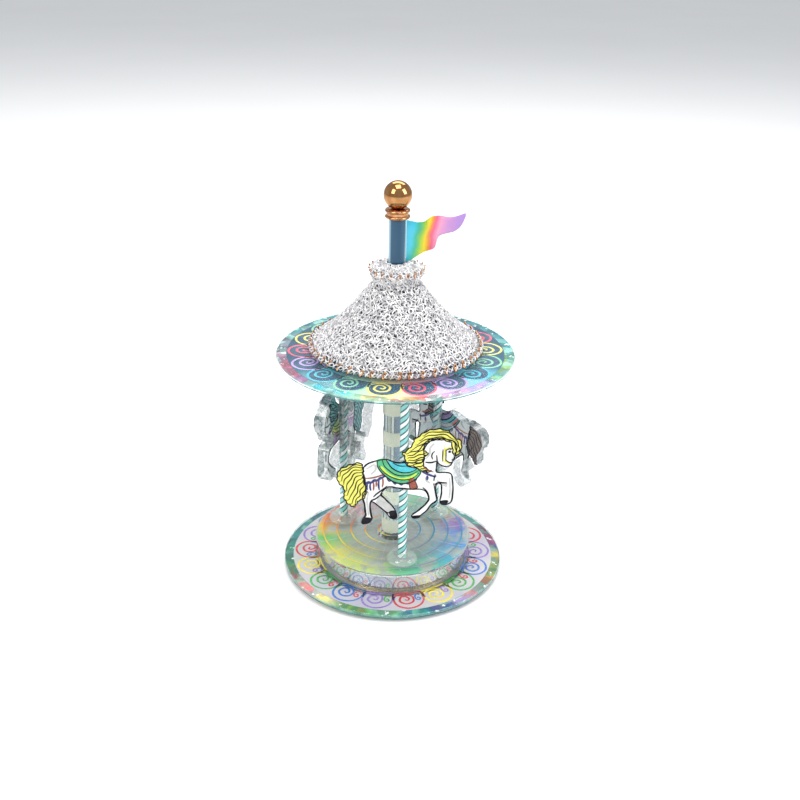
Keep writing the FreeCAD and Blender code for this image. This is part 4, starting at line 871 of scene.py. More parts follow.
horseShapes = [  # ink, layer, outline
    ("body", 0, [
        (-22.3, 37), (-20, 39.3), (-15.5, 40.6), (-10, 41), (-5, 38.5), (1, 38.3), (10, 38),
        (10, 45), (13, 50),
        (18, 51.5), (23, 50.5), (26.5, 49), (28, 46), (27.5, 41.5), (26.3, 37.8), (24.8, 34.8),
        (22.5, 34.2),
        (20, 35), (18.2, 36.5), (17.4, 38), (17.2, 34), (17.6, 31), (22, 30.6), (25.6, 29.2),
        (26.6, 24),
        (26.9, 17), (26.3, 12), (23, 10.3), (20.4, 11.2), (19.8, 13.5), (20.4, 18), (20.3, 23),
        (17.6, 24.2),
        (17.2, 20), (18.2, 14.5), (17.5, 12.6), (14.8, 10.9), (12.5, 7.5), (10, 5.4), (8, 3.4),
        (5, 3.4),
        (4.6, 5.6), (8, 7.8), (11, 10.6), (13.2, 13.6), (13.2, 16.5), (11.5, 19.8), (8.5, 21.3),
        (3.5, 21.6),
        (-3, 22.8), (-8.8, 24.2), (-13, 20), (-10.5, 16.8), (-6.8, 12.3), (-4.7, 8.5), (-4.2, 4.2),
        (-7.2, 4.4), (-9.8, 8), (-13.5, 12), (-17.3, 15.5), (-18.7, 14.5), (-18.2, 9), (-17.6, 5),
        (-19.3, 2.6), (-22.8, 2.2), (-22.9, 4.5), (-21.2, 8), (-21.5, 13), (-22.8, 18.5), (-21, 23),
        (-21.8, 29), (-22.5, 33)]),
    ("shade", 1, [(-12.6, 19.8), (-10.3, 16.6), (-6.7, 12), (-4.9, 8.6), (-7.4, 7.6), (-9.6, 9.2),
                  (-13, 12.6), (-15.6, 15.2)]),
    ("shade", 1, [(18, 26.2), (20.4, 24.4), (23.4, 24), (23.3, 21.4), (20.8, 22.6), (18.3, 24)]),
    ("hair", 1, [
        (-1.6, 43.9), (0.7, 45.2), (3.9, 48.9), (4.8, 51.6), (8.9, 54.8), (13, 56.8), (18.4, 57),
        (23.4, 55.2),
        (26.1, 51.6), (30.2, 48.9), (30.2, 43.9), (28.9, 41.1), (26.6, 40.7), (25.7, 43.9),
        (24.8, 48.4),
        (20.7, 50.2), (17, 51.1), (12.5, 49.8), (10.2, 48.4), (10, 44.8), (12.5, 43), (10.2, 40.7),
        (9.8, 37.5), (11.1, 34.3), (14.3, 32), (12.5, 31.6), (8, 33), (5.7, 35.2), (1.6, 36.6),
        (0.2, 38.4),
        (-0.2, 42)]),
    ("hair", 1, [
        (-22.5, 35.7), (-23.9, 39.8), (-27, 39.8), (-31.6, 38.4), (-35.2, 36.6), (-36.4, 33),
        (-35.9, 29.3),
        (-33.4, 26.1), (-32.5, 23), (-33, 20.2), (-31.6, 16.6), (-29.3, 14.3), (-27.5, 13.4),
        (-26.1, 15.2),
        (-24.8, 17), (-22, 18.4), (-20.7, 22), (-21.6, 26.1), (-22.5, 30.2), (-22.7, 33)]),
    ("blanket", 2, [
        (-15.2, 41.2), (-14.8, 37), (-12.5, 33), (-9.5, 29.8), (-6, 27), (-2, 25.5), (2, 25.8),
        (5, 27),
        (8, 30), (9, 33), (6.5, 34), (4, 32.5), (0, 32), (-4, 33.3), (-7.5, 36), (-9.5, 39.5),
        (-10.5, 41.4)]),
    ("stripe", 3, [
        (-13.4, 36.2), (-10.6, 32.6), (-7.2, 29.9), (-3.4, 28.2), (0, 27.9), (3.6, 28.6),
        (6.6, 30.6),
        (6, 31.4), (3.2, 29.8), (0, 29.1), (-3, 29.4), (-6.6, 31), (-9.8, 33.7), (-12.4, 37)]),
    ("seat", 3, [
        (-9.3, 40.9), (-5.7, 38.9), (-1.6, 38.2), (1.1, 38.4), (1, 36.2), (4, 35), (6.5, 34.2),
        (4.5, 32.8),
        (0, 32.3), (-4, 33.5), (-7, 35.9)]),
    ("rust", 4, [(2.3, 28), (5, 28.2), (7, 23), (6, 22), (3, 22.3)]),
    ("hair", 2, [(21.0, 37.2), (21.7, 37.3), (21.6, 46.6), (20.9, 46.6)]),
    ("black", 2, [(-23, 2.3), (-19.4, 2.6), (-18.1, 5.4), (-22.2, 5.9)]),
    ("black", 2, [(-8.4, 8.4), (-7.1, 4.5), (-4.3, 3.9), (-4.6, 8.4), (-6.2, 9.2)]),
    ("black", 2, [(4.9, 3.4), (8, 3.4), (9.4, 4.8), (7.4, 4.9), (4.8, 4.7)]),
    ("black", 2, [(20.3, 11.5), (22.8, 10.5), (24.6, 12.2), (23.4, 13.2), (20.2, 13.0)]),
]
horseStrokes = [  # ink, layer, width, points
    ("strap", 3, 1.0, [(-20.2, 27.4), (-20.5, 25), (-20.2, 23.2)]),
    ("rust", 3, 1.0, [(-15.5, 28.4), (-15.4, 26.4), (-15.6, 24.8)]),
    ("strap", 4, 1.3,
     [(-21.4, 27.1), (-19.8, 28.2), (-18.2, 27.5), (-16.6, 29), (-15, 28.6), (-13.4, 30.2),
                       (-11.6, 30.4)]),
    ("strap", 3, 1.2, [(-22, 27), (-19.5, 27.4), (-16, 28.5), (-13, 29.6), (-10.4, 31)]),
    ("strap", 3, 1.1, [(-18.6, 27.6), (-18.8, 25), (-18.4, 22.6)]),
    ("rust", 3, 1.0, [(-17, 28), (-16.8, 25.2), (-17, 22.6)]),
    ("strap", 3, 1.1, [(-14, 29), (-14.2, 25.6), (-13.8, 22.6)]),
    ("rust", 3, 1.0, [(-12, 30), (-11.8, 27), (-12.2, 24.2)]),
    ("rust", 4, 0.9, [(-22, 30.5), (-18, 30.4), (-14, 31.2), (-10.6, 32.6)]),
    ("strap", 3, 1.3, [(9.4, 32), (12, 30.5), (14.6, 29.2), (16.9, 28.2)]),
    ("strap", 4, 1.4, [(16.4, 28.9), (17.1, 28.3)]),
    ("strap", 4, 1.3, [(12.2, 29.4), (12.4, 28), (12.2, 26.6)]),
    ("rust", 4, 0.6, [(10, 35), (12.8, 32.6), (15.6, 31.4)]),
    ("black", 4, 0.5, [(11, 37.8), (14, 37.2), (17.2, 38)]),
    ("hair", 3, 0.8, [(21.4, 38), (23, 36.4), (24.5, 35.5)]),
    ("black", 4, 0.35, [(21.9, 38.6), (23.4, 37), (24.9, 36.1)]),
    ("hair", 3, 0.8, [(21.4, 44.2), (23.6, 45.6), (25.4, 45.4)]),
    ("black", 4, 0.35, [(21.6, 43.6), (23.6, 44.9), (25.4, 44.8)]),
    ("shade", 1, 1.0, [(25.4, 37.6), (26.6, 40.4), (26.7, 43)]),
    ("shade", 1, 1.2, [(11.4, 39.6), (13.2, 42.6), (13.4, 46), (15.6, 48.6)]),
    ("shade", 1, 1.2, [(-20.8, 36), (-16.6, 38.2), (-16, 35), (-18.4, 32.6)]),
    ("shade", 1, 1.2, [(11.2, 28.6), (12, 26.2), (14, 24.6)]),
    ("shade", 1, 1.1, [(-19.6, 22), (-20.4, 17), (-20, 12), (-19.6, 7)]),
    ("shade", 1, 1.0, [(24.6, 27), (25.2, 20), (24.8, 14)]),
    ("black", 3, 0.35, [(20.5, 37.4), (20.4, 41), (20.4, 44.8)]),
    ("black", 3, 0.35, [(22.2, 37.3), (22.2, 41), (22.1, 44.8)]),
    ("black", 4, 1.5, [(23.4, 43.3), (24.8, 42.8)]),
    ("black", 4, 0.4, [(22.8, 44.5), (24, 44.9), (25, 44.2)]),
    ("black", 4, 0.9, [(25.4, 38.2), (26.1, 37.9)]),
    ("black", 4, 0.4, [(26.2, 36.9), (24.8, 36.3), (23.6, 36.9)]),
    ("black", 4, 0.4, [(15, 39.2), (14.4, 41), (14.8, 42.8), (16, 44)]),
    ("black", 4, 0.4, [(17, 41.6), (17.4, 38.4), (17.3, 35), (16.8, 31.6)]),
    ("black", 4, 0.4, [(16.6, 30), (16.2, 27.6), (16, 25.7)]),
    ("black", 4, 0.5, [(-9.5, 24.8), (-13, 22), (-15.4, 20.2), (-17, 18.5)]),
    ("black", 4, 0.5, [(-12, 20.5), (-15.5, 17.5), (-18.4, 15.8), (-18.7, 10), (-17.8, 5)]),
    ("black", 4, 0.5, [(-23, 19), (-21.8, 15), (-21.5, 10), (-21, 7.5), (-22.6, 4.8)]),
    ("black", 4, 0.5,
     [(10, 22.2), (12.5, 19.3), (13.6, 14.8), (12.5, 12.5), (11, 10.7), (7.4, 7.5), (4.9, 5.6)]),
    ("black", 4, 0.5,
     [(16, 24.3), (17, 18.9), (18, 14.3), (17.5, 13), (14.8, 11), (12.5, 7.5), (9.2, 4.8)]),
    ("black", 4, 0.5, [(25.7, 29), (26.7, 22), (26.7, 16.6), (26, 11.9), (23, 10.5)]),
    ("black", 4, 0.5, [(16.6, 23.7), (18.6, 24.6), (20.6, 24.3), (23.4, 24)]),
    ("black", 4, 0.45, [(20.2, 22.8), (20.5, 18), (20, 13.8)]),
    ("black", 4, 0.45, [(3.5, 21.7), (6, 21.6), (8.5, 21.3)]),
    ("black", 4, 0.45, [(-8.4, 24.3), (-4, 23.1), (0, 22.4), (3.6, 21.8)]),
    ("black", 4, 0.45, [(-6.6, 12.3), (-8.8, 14.7), (-10.6, 16.9), (-12.6, 19.6)]),
    ("black", 4, 0.45, [(-7.2, 7.8), (-9.6, 8.3), (-13.4, 12), (-16.6, 15)]),
    ("black", 4, 0.45, [(-22.2, 33), (-21.6, 29.4), (-21, 24)]),
    ("black", 4, 0.45, [(-21.9, 37.4), (-19.8, 39.3), (-15.5, 40.6)]),
    # scalloped fringe and lines of the blanket
    ("black", 4, 0.45,
     [(-15, 40.6), (-14.8, 37), (-12.4, 33), (-9.4, 29.8), (-6, 27), (-2, 25.6), (2, 25.8),
                        (5, 27), (8, 30), (9, 33)]),
    ("black", 4, 0.35,
     [(-14.2, 37.6), (-12.2, 34.4), (-9.2, 31.4), (-5.6, 29.2), (-2, 28), (1.6, 27.9),
                        (4.8, 28.9), (7.6, 31.4)]),
    ("black", 4, 0.4,
     [(-10.4, 41), (-9.4, 39.4), (-7.4, 36), (-4, 33.4), (0, 32.1), (4, 32.6), (6.4, 34)]),
    ("black", 4, 0.35,
     [(-12.2, 40.8), (-11.4, 37.6), (-9, 34.6), (-5.4, 31.6), (-1.4, 30.4), (3, 30.6), (7, 32.6)]),
    ("strap", 4, 0.7, [(-12.6, 32), (-11.4, 30.8), (-10.8, 31.2)]),
    ("strap", 4, 0.8, [(-9.8, 29.4), (-8.4, 27.6), (-7.6, 28.2)]),
    ("strap", 4, 0.8, [(-6.6, 26.9), (-5.2, 25.6), (-4.2, 26.4)]),
    ("strap", 4, 0.8, [(-3.2, 25.6), (-1.6, 24.8), (-0.4, 25.6)]),
    ("strap", 4, 0.8, [(0.6, 25.5), (2.2, 25.1), (3.2, 26.1)]),
    ("strap", 4, 0.7, [(4.6, 26.6), (6, 27), (6.8, 28.4)]),
    ("black", 4, 0.4,
     [(-9.2, 40.8), (-5.7, 39), (-1.6, 38.3), (1.1, 38.4), (1.1, 36.3), (4, 35.1), (6.5, 34.3)]),
    ("black", 4, 0.35, [(-6.6, 38.6), (-3, 36.6), (0.9, 36.2)]),
    ("black", 4, 0.35, [(2.3, 28), (3, 22.4), (6, 22), (7, 23), (5.1, 28.2)]),
]
maneStrands = [
    [(28.6, 50), (24.6, 53.4), (18.6, 55.6), (13, 55.2), (9, 53.4)],
    [(26.4, 50.4), (22.6, 52.8), (17.4, 54), (12, 53.2), (7.2, 50.8)],
    [(25.2, 49.4), (20.8, 51.5), (15.4, 52.3), (10.6, 50.9), (5.2, 48.2)],
    [(19.6, 50.7), (14.6, 51.1), (10.4, 49.7), (6.6, 47.2), (2.2, 45)],
    [(13.4, 50.1), (10.4, 48.3), (7.4, 45.8), (3.4, 44.2), (0.2, 43.6)],
    [(10.3, 47), (8.2, 44.6), (4.6, 43), (1, 42.4)],
    [(11.4, 44), (8.6, 42.4), (5, 41.6), (1.2, 41)],
    [(12, 42.6), (9.4, 40.6), (5.8, 39.8), (1.4, 39.4)],
    [(10.6, 41), (8, 39), (4.8, 38.2), (1.6, 37.8)],
    [(9.9, 38.8), (7.4, 37), (4.4, 36.6)], [(10, 36.8), (8, 35), (6, 35.2)],
    [(10.8, 35), (9.6, 33.6), (8, 33.6)], [(13, 32.8), (11.6, 32.4), (10, 32.6)],
    [(26.6, 50), (28.8, 47.6), (29.2, 44.6), (28.4, 42)],
    [(25.6, 49), (27.2, 46.6), (27.4, 43.6), (27, 41.4)],
]
tailStrands = [
    [(-22.6, 38.6), (-26, 38.9), (-30.6, 37.4), (-34, 35.4), (-35.4, 32.4)],
    [(-22.6, 37.2), (-26.4, 37.6), (-30.6, 35.8), (-33, 33), (-34.6, 29.4)],
    [(-22.8, 36), (-26.6, 35.8), (-30, 33.6), (-32.2, 30.4), (-33.4, 27)],
    [(-22.8, 34.6), (-26.2, 34), (-29, 31.4), (-30.8, 27.6), (-31.8, 23)],
    [(-22.8, 33), (-25.6, 32), (-28, 28.8), (-29.4, 24.6), (-31.8, 20.4)],
    [(-22.8, 31.4), (-24.8, 29.6), (-27, 26), (-28.2, 21.6), (-31.2, 17.4)],
    [(-22.6, 29.4), (-24.4, 26.8), (-25.8, 23), (-27.2, 19), (-29.2, 15)],
    [(-22, 27), (-23.6, 24), (-24.4, 20.6), (-25.8, 18), (-27.4, 14.2)],
    [(-21.4, 24.6), (-22.4, 21.6), (-23, 18.8)],
]


def ripple(line, size, pace=2.2):
    # a wavy edge, as on hair
    wavy = []
    for k, (x, y) in enumerate(line):
        before, after = line[k - 1] if k else line[k], line[(k + 1) % len(line)]
        long = math.dist(before, after) or 1
        push = size * math.sin(k * pace) / long
        wavy.append((x - (after[1] - before[1]) * push, y + (after[0] - before[0]) * push))
    return wavy


def drawHorse(shape, face):
    inks = horse["inks"]
    step = horse["layer"]
    art = Shape()
    for ink, layer, outline in horseShapes:
        line = smoothLine(outline, 3, closed=True)
        if ink == "hair":
            line = ripple(line, horse["ripple"])
        patch(art, line, layer * step, (layer + 1) * step, inks.index(ink))
    for number in horse["outlined"]:
        line = smoothLine(horseShapes[number][2], 3, closed=True)
        if number:
            line = ripple(line, horse["ripple"])
        strokeLine(art, line, horse["outline"], 2 * step, 4.4 * step, inks.index("black"),
                   closed=True)
    for ink, layer, width, line in horseStrokes:
        if ink == "black" and width < 0.7:
            width *= horse["bold"]
        strokeLine(art, smoothLine(line, 4), width, layer * step, (layer + 1) * step,
                   inks.index(ink), taper=0.5)
    for line in maneStrands + tailStrands:
        strokeLine(art, ripple(smoothLine(line, 4), 0.42, 0.9), horse["strand"], 3 * step, 4 * step,
                   inks.index("black"), taper=0.6)
    size = horse["scale"]
    # the outer face carries the print; its other side is seen through the plate
    points = [(x * size, face * (z + 0.01) - horse["halfThick"], y * size) for x, y,
              z in art.points]
    faces = [f if face < 0 else f[::-1] for f in art.faces]
    start = len(shape.points)
    shape.points += points
    shape.faces += [tuple(start + k for k in f) for f in faces]
    shape.finish += art.finish


def acrylicFinish(side, facing):
    # clear on the two faces; the cut edges carry painted refraction, light and dark mottled into
    # grey-green
    dark, solid = horse["edges"][side]
    finish = Finish("acrylic_" + side, Roughness=0.06, IOR=2.0)
    normal = finish.node("ShaderNodeTexCoord").outputs["Normal"]
    dot = finish.node("ShaderNodeVectorMath", operation="DOT_PRODUCT")
    finish.link(normal, dot.inputs[0])
    dot.inputs[1].default_value = (math.sin(facing), -math.cos(facing), 0)
    edge = finish.range(finish.sum("ABSOLUTE", dot.outputs["Value"], 0.0), 0.5, 0.9, 1.0, 0.0)
    deepest = (dark, dark * 1.7, dark * 1.8)
    shades = [tuple(c + (0.9 - c) * lift for c in deepest) for lift in (0, 0.22, 0.5, 0.88)]
    edgeRefraction = finish.shades(finish.noise(420, 4, 0.65), list(zip((0.36, 0.46, 0.54, 0.66), shades)))
    finish.colour(finish.mix(edge, (0.36, 0.50, 0.54), edgeRefraction))
    finish.alpha(finish.range(edge, 0.0, 1.0, 0.07, solid))
    return finish.material


def inkFinish(ink, side, colour):
    if ink == "shade":
        return enamel("ink_shade_" + side, tuple(0.62 * c for c in colour), 0.3)
    return enamel("ink_%s_%s" % (ink, side), colour, 0.28, 0.05 if ink == "body" else 0.2)


def makeHorses():
    black = enamel("ink_black", (0.004, 0.004, 0.008), 0.6)
    black.node_tree.nodes["Principled BSDF"].inputs["Specular IOR Level"].default_value = 0.1
    floorTop = topOf("floor_plate")
    for side in horseSides:
        angle, lift, yaw, colours = horse[side]
        heading = math.radians(angle + 90 + yaw)
        dress(nodes["horse_" + side], acrylicFinish(side, heading))
        finishes = [black if ink == "black" else inkFinish(ink, side,
                                                           colours.get(ink, colours["body"]))
                    for ink in horse["inks"]]
        shape = Shape()
        for face in (-1, 1):
            drawHorse(shape, face)
        cx, cy = centreOf("pole_" + side)
        shape.place(Matrix.Translation((cx, cy, floorTop + horse["clearance"] + lift))
                    @ Matrix.Rotation(heading, 4, "Z"))
        makePiece("horse_print_" + side, shape, finishes, "carousel", crisp=50)


makeHorses()
print("horses printed")


roof = {
    "edge": 2.5, "bevel": 7.0, "hole": 0, "printDepth": 3.4, "filmInner": 20.0, "filmOuter": 58.0,
    # dark blue at the sides and back, paler aqua and mint towards the front
    "film": [(0.0, (0.01, 0.07, 0.13)), (0.55, (0.01, 0.07, 0.13)), (0.61, (0.02, 0.14, 0.21)),
             (0.66, (0.28, 0.60, 0.60)), (0.71, (0.58, 0.76, 0.52)), (0.735, (0.82, 0.78, 0.42)),
             (0.765, (0.84, 0.56, 0.50)), (0.80, (0.78, 0.50, 0.58)), (0.84, (0.56, 0.52, 0.74)),
             (0.89, (0.14, 0.50, 0.62)), (0.94, (0.02, 0.14, 0.22)), (1.0, (0.01, 0.07, 0.13))],
    # colours the bevel gathers from the print, round the rim, laid in shards of painted refraction
    "wash": [(0.0, (0.03, 0.32, 0.36)), (0.10, (0.04, 0.26, 0.30)), (0.45, (0.05, 0.28, 0.30)),
             (0.53, (0.45, 0.20, 0.32)), (0.58, (0.62, 0.12, 0.20)), (0.62, (0.42, 0.26, 0.60)),
             (0.66, (0.02, 0.48, 0.58)), (0.70, (0.25, 0.72, 0.48)), (0.735, (0.88, 0.82, 0.30)),
             (0.755, (0.85, 0.32, 0.06)), (0.775, (0.78, 0.10, 0.18)), (0.81, (0.72, 0.36, 0.55)),
             (0.85, (0.50, 0.34, 0.74)), (0.90, (0.02, 0.50, 0.62)), (0.95, (0.42, 0.66, 0.12)),
             (1.0, (0.03, 0.32, 0.36))],
    "pale": (0.40, 0.74, 0.64),
}


def makeRoof():
    film = Finish("film_blue", Roughness=0.3, IOR=1.45)
    film.colour(hueRound(film, roof["film"], 30, 0.025))
    film.alpha(film.range(film.noise(70, 3), 0.3, 0.7, 0.93, 1.0))
    wash = washFinish("painted_refraction_pastel", roof["wash"], roof["pale"])
    printedDisc("roof", "roof_disc", roof, roofSwirls, film.material, wash, "carousel")


makeRoof()
print("roof made")


tent = {
    "outline": [(42.6, 135.4), (41.4, 137.6), (32.6, 144.6), (24.8, 152.6), (17.8, 161.0),
                (12.2, 168.3)],
    "rows": 26, "loop": 1.55, "pitch": 2.3, "thread": 0.35, "proud": 1.2, "steps": 9, "seed": 7,
    "netOut": 1.28, "netIn": 2.2, "netDrop": 0.6, "netSteps": 144,
}
rim = {"radius": 45.4, "coil": 1.1, "wire": 0.36, "turns": 90, "steps": 9, "lift": 1.6,
       "dabs": 45, "dabWire": 0.44, "seed": 3}
collar = {"outline": [(11.4, 169.6), (11.4, 171.8), (12.6, 174.4), (13.4, 176.4), (11.6, 177.8),
                      (8.6, 178.2),
                      (5.4, 179.6)],
          "rows": 12, "loop": 1.0, "pitch": 1.6, "proud": 0.9, "seed": 5,
          "tips": 20, "tipRadius": 14.3, "tipHeight": 176.6, "tipWire": 0.38}


def alongProfile(profile, rows):
    # evenly spaced places on a profile, each with its slope
    fine = smoothLine(profile, 24)
    lengths = [0]
    for a, b in zip(fine, fine[1:]):
        lengths.append(lengths[-1] + math.dist(a, b))
    places = []
    for row in range(rows):
        want = lengths[-1] * (row + 0.5) / rows
        k = max(i for i, length in enumerate(lengths[:-1]) if length <= want)
        a, b = fine[k], fine[k + 1]
        share = (want - lengths[k]) / (lengths[k + 1] - lengths[k])
        spot = (a[0] + (b[0] - a[0]) * share, a[1] + (b[1] - a[1]) * share)
        long = math.dist(a, b)
        along = ((b[0] - a[0]) / long, (b[1] - a[1]) / long)
        places.append((spot, along))
    return places


def loopRows(shape, plan, rng):
    # rows of curled glass thread that go round a turned shape
    for row, ((r, z), (slopeR, slopeZ)) in enumerate(alongProfile(plan["outline"], plan["rows"])):
        outR, outZ = slopeZ, -slopeR
        loops = max(8, round(turn * r / plan["pitch"]))
        start = rng.random() * turn
        way = 1 if row % 2 else -1
        line = []
        for k in range(loops):
            size = plan["loop"] * rng.uniform(0.55, 1.35)
            lean = rng.uniform(-0.9, 0.9)
            lift = rng.uniform(-0.4, 0.8)
            stray = plan["loop"] * rng.uniform(-0.45, 0.45)
            for s in range(plan["steps"]):
                phase = turn * s / plan["steps"]
                side = size * math.sin(phase + lean)
                up = size * math.cos(phase) + stray
                out = plan["proud"] * (0.5 + 0.5 * math.cos(phase + 1.1 + lift)) + lift * 0.4
                theta = start + way * (turn * (k + s / plan["steps"]) / loops + side / r)
                radius = r + slopeR * up + outR * out
                line.append((radius * math.cos(theta), radius * math.sin(theta),
                             z + slopeZ * up + outZ * out))
        wire(shape, line, plan["thread"], sides=4, closed=True)


def makeTent():
    rng = random.Random(tent["seed"])
    thread = Finish("glass_thread", Roughness=0.06, IOR=1.9, Transmission_Weight=0.12)
    thread.colour(thread.shades(thread.noise(400, 3), [(0.36, (0.52, 0.51, 0.53)),
                                                       (0.60, (0.95, 0.93, 0.93))]))
    shape = Shape()
    loopRows(shape, tent, rng)
    makePiece("tent_threads", shape, [thread.material], "carousel", crisp=80)

    # fused net under the threads, a sheet of painted shade: pale, with painted dark shade in the
    # openings between its cells
    shell = Finish("glass_net_painted_shade", Roughness=0.25, IOR=1.47)
    cells = shell.node("ShaderNodeTexVoronoi", feature="F1", Scale=520.0)
    shell.link(shell.place(), cells.inputs["Vector"])
    shadeGaps = shell.sum("MULTIPLY", shell.range(cells.outputs["Distance"], 0.25, 0.6, 0, 1),
                     shell.range(shell.noise(420, 2), 0.42, 0.62, 0, 1))
    shell.colour(shell.shades(shadeGaps, [(0.0, (0.40, 0.40, 0.42)), (0.35, (0.20, 0.20, 0.22)),
                                     (0.6, (0.01, 0.015, 0.02))]))
    shell.bump(cells.outputs["Distance"], 0.5, 0.0004)
    fine = smoothLine(tent["outline"], 8)
    outer = [(r - tent["netOut"], z) for r, z in fine]
    inner = [(r - tent["netIn"], z - tent["netDrop"]) for r, z in fine][::-1]
    shape = Shape()
    lathe(shape, outer + inner, tent["netSteps"])
    makePiece("tent_net", shape, [shell.material], "carousel", crisp=60,
              replaces=["tent"])
    return thread.material


def giltDab(shape, degrees, radius, z, tall, wide, lean, size):
    # a drawn-out loop of gilt glass, its top leaning inwards
    line = []
    for s in range(12):
        phase = turn * s / 12
        up = tall * math.cos(phase)
        theta = math.radians(degrees) + (wide * math.sin(phase) + up * 0.25) / radius
        reach = radius - lean * up + 0.25 * math.cos(2 * phase)
        line.append((reach * math.cos(theta), reach * math.sin(theta), z + up))
    wire(shape, line, size, sides=6, closed=True, finish=1)


def makeRim(thread, gilt):
    z = footOf("tent_rim") + rim["lift"]
    rng = random.Random(rim["seed"])
    shape = Shape()
    for way, coil, size in ((1, rim["coil"], rim["wire"]),
                            (-1, rim["coil"] * 0.75, rim["wire"] * 0.75)):
        line = []
        for k in range(rim["turns"]):
            reach = coil * rng.uniform(0.8, 1.0)
            for s in range(rim["steps"]):
                phase = way * turn * s / rim["steps"]
                theta = turn * (k + s / rim["steps"]) / rim["turns"]
                radius = rim["radius"] + reach * math.cos(phase)
                line.append((radius * math.cos(theta), radius * math.sin(theta),
                             z + reach * math.sin(phase)))
        wire(shape, line, size, sides=5, closed=True)
    for k in range(rim["dabs"]):
        giltDab(shape, 360 * (k + rng.uniform(-0.12, 0.12)) / rim["dabs"], rim["radius"] + 0.3,
                z + 0.6,
                rng.uniform(1.5, 1.9), 0.55, 0.45, rim["dabWire"])
    makePiece("tent_edging", shape, [thread, gilt], "carousel", crisp=80,
              replaces=["tent_rim"])


def makeCollar(thread, gilt):
    rng = random.Random(collar["seed"])
    shape = Shape()
    loopRows(shape, {**tent, **collar}, rng)
    fine = smoothLine(collar["outline"], 6)
    lathe(shape, [(4.9, fine[0][1])] + [(r - 0.6, z - 0.4) for r, z in fine], 72)
    # gilt tips round the mouth
    for k in range(collar["tips"]):
        giltDab(shape, 360 * (k + 0.3) / collar["tips"], collar["tipRadius"], collar["tipHeight"],
                rng.uniform(1.2, 1.5), 0.5, -0.1, collar["tipWire"])
    makePiece("collar_ruff", shape, [thread, gilt], "carousel", crisp=80,
              replaces=["tent_collar"])


gilt = metal("gilt_polished", (0.30, 0.12, 0.05), (0.66, 0.36, 0.18), 0.10, 0.22, 500)
threadGlass = makeTent()
makeRim(threadGlass, gilt)
makeCollar(threadGlass, gilt)
print("tent made")


flag = {
    "top": [(4.6, 202.4), (7.5, 201.7), (10.3, 201.1), (13.6, 201.7), (15.3, 203.4), (17.4, 205.0),
            (21.4, 205.5),
            (25.9, 204.5), (29.8, 204.7), (33.1, 205.6), (34.5, 205.9)],
    "foot": [(4.6, 180.6), (7.8, 181.8), (10.7, 183.5), (13.6, 185.2), (16.3, 186.6), (19.2, 188.6),
             (21.0, 194.6), (25.2, 196.4), (28.9, 197.2), (32.2, 199.6), (34.5, 204.2)],
    "thick": 1.5, "wave": 2.0, "rows": 10,
    "hues": [(0.0, (0.08, 0.56, 0.78)), (0.14, (0.06, 0.55, 0.72)), (0.22, (0.05, 0.46, 0.28)),
             (0.29, (0.22, 0.56, 0.06)), (0.36, (0.86, 0.68, 0.01)), (0.42, (0.86, 0.28, 0.05)),
             (0.47, (0.84, 0.12, 0.24)), (0.58, (0.80, 0.34, 0.52)), (0.72, (0.56, 0.28, 0.58)),
             (0.86, (0.44, 0.26, 0.60)), (1.0, (0.42, 0.26, 0.62))],
}


def makeFlag():
    top = smoothLine(flag["top"], 5)
    foot = smoothLine(flag["foot"], 5)
    rows = flag["rows"]
    count = len(top)
    front, back = [], []
    for i in range(count):
        along = i / (count - 1)
        for row in range(rows + 1):
            share = row / rows
            x, z = (low + (high - low) * share for low, high in zip(foot[i], top[i]))
            wave = flag["wave"] * math.sin(turn * (along * 1.15 + 0.12 * share)) * min(1, along * 3)
            edge = math.sqrt(max(0.0, 1 - abs(2 * share - 1) ** 4)) * (1 - 0.5 * along)
            half = flag["thick"] / 2 * (0.25 + 0.75 * edge)
            front.append((x, wave - half, z))
            back.append((x, wave + half, z))
    shape = Shape()
    wide = rows + 1
    total = count * wide
    faces = []
    for i in range(count - 1):
        here, there = i * wide, (i + 1) * wide
        for row in range(rows):
            a, b = here + row, there + row
            faces.append((a, b, b + 1, a + 1))
            faces.append((total + a + 1, total + b + 1, total + b, total + a))
        faces.append((here, total + here, total + there, there))
        faces.append((there + rows, total + there + rows, total + here + rows, here + rows))
    for row in range(rows):
        a = (count - 1) * wide + row
        faces.append((row + 1, total + row + 1, total + row, row))
        faces.append((a, total + a, total + a + 1, a + 1))
    shape.add(front + back, faces)

    rainbow = Finish("glass_rainbow", Roughness=0.12, IOR=1.5, Transmission_Weight=0.15)
    at = rainbow.split(rainbow.place())
    lean = rainbow.sum("ADD", at["X"], rainbow.sum("MULTIPLY", at["Z"], -0.18))
    cloud = rainbow.range(rainbow.noise(110, 3), 0.3, 0.7, -0.0012, 0.0012)
    along = rainbow.range(rainbow.sum("ADD", lean, cloud), 0.0045 - 0.036, 0.0345 - 0.036, 0.0, 1.0)
    rainbow.colour(rainbow.shades(along, flag["hues"]))
    makePiece("flag_rainbow", shape, [rainbow.material], "carousel", crisp=50,
              replaces=["flag"])


flagPole = {  # tones round the blue tube, with painted highlights: paler where its wall is seen edge on
    "tones": [(0.0, (0.03, 0.09, 0.15)), (0.45, (0.01, 0.06, 0.12)), (0.58, (0.34, 0.52, 0.62)),
              (0.63, (0.02, 0.08, 0.15)), (0.80, (0.01, 0.06, 0.12)), (0.90, (0.02, 0.10, 0.18)),
              (0.95, (0.42, 0.58, 0.66)), (1.0, (0.03, 0.09, 0.15))],
    "ease": 0.2, "steps": 64,
}


def makeFlagPole():
    r, low, high = sizesOf("flag_pole")
    blue = Finish("glass_steel_blue", Roughness=0.06, IOR=1.45)
    blue.colour(blue.shades(blue.angle(), flagPole["tones"]))
    blue.rough(900, 0.04, 0.12)
    shape = Shape()
    outline = easeCorners([(0, low), (r, low), (r, high), (0, high)], flagPole["ease"])
    lathe(shape, outline, flagPole["steps"])
    makePiece("pole_blue", shape, [blue.material], "carousel", crisp=30,
              replaces=["flag_pole"])


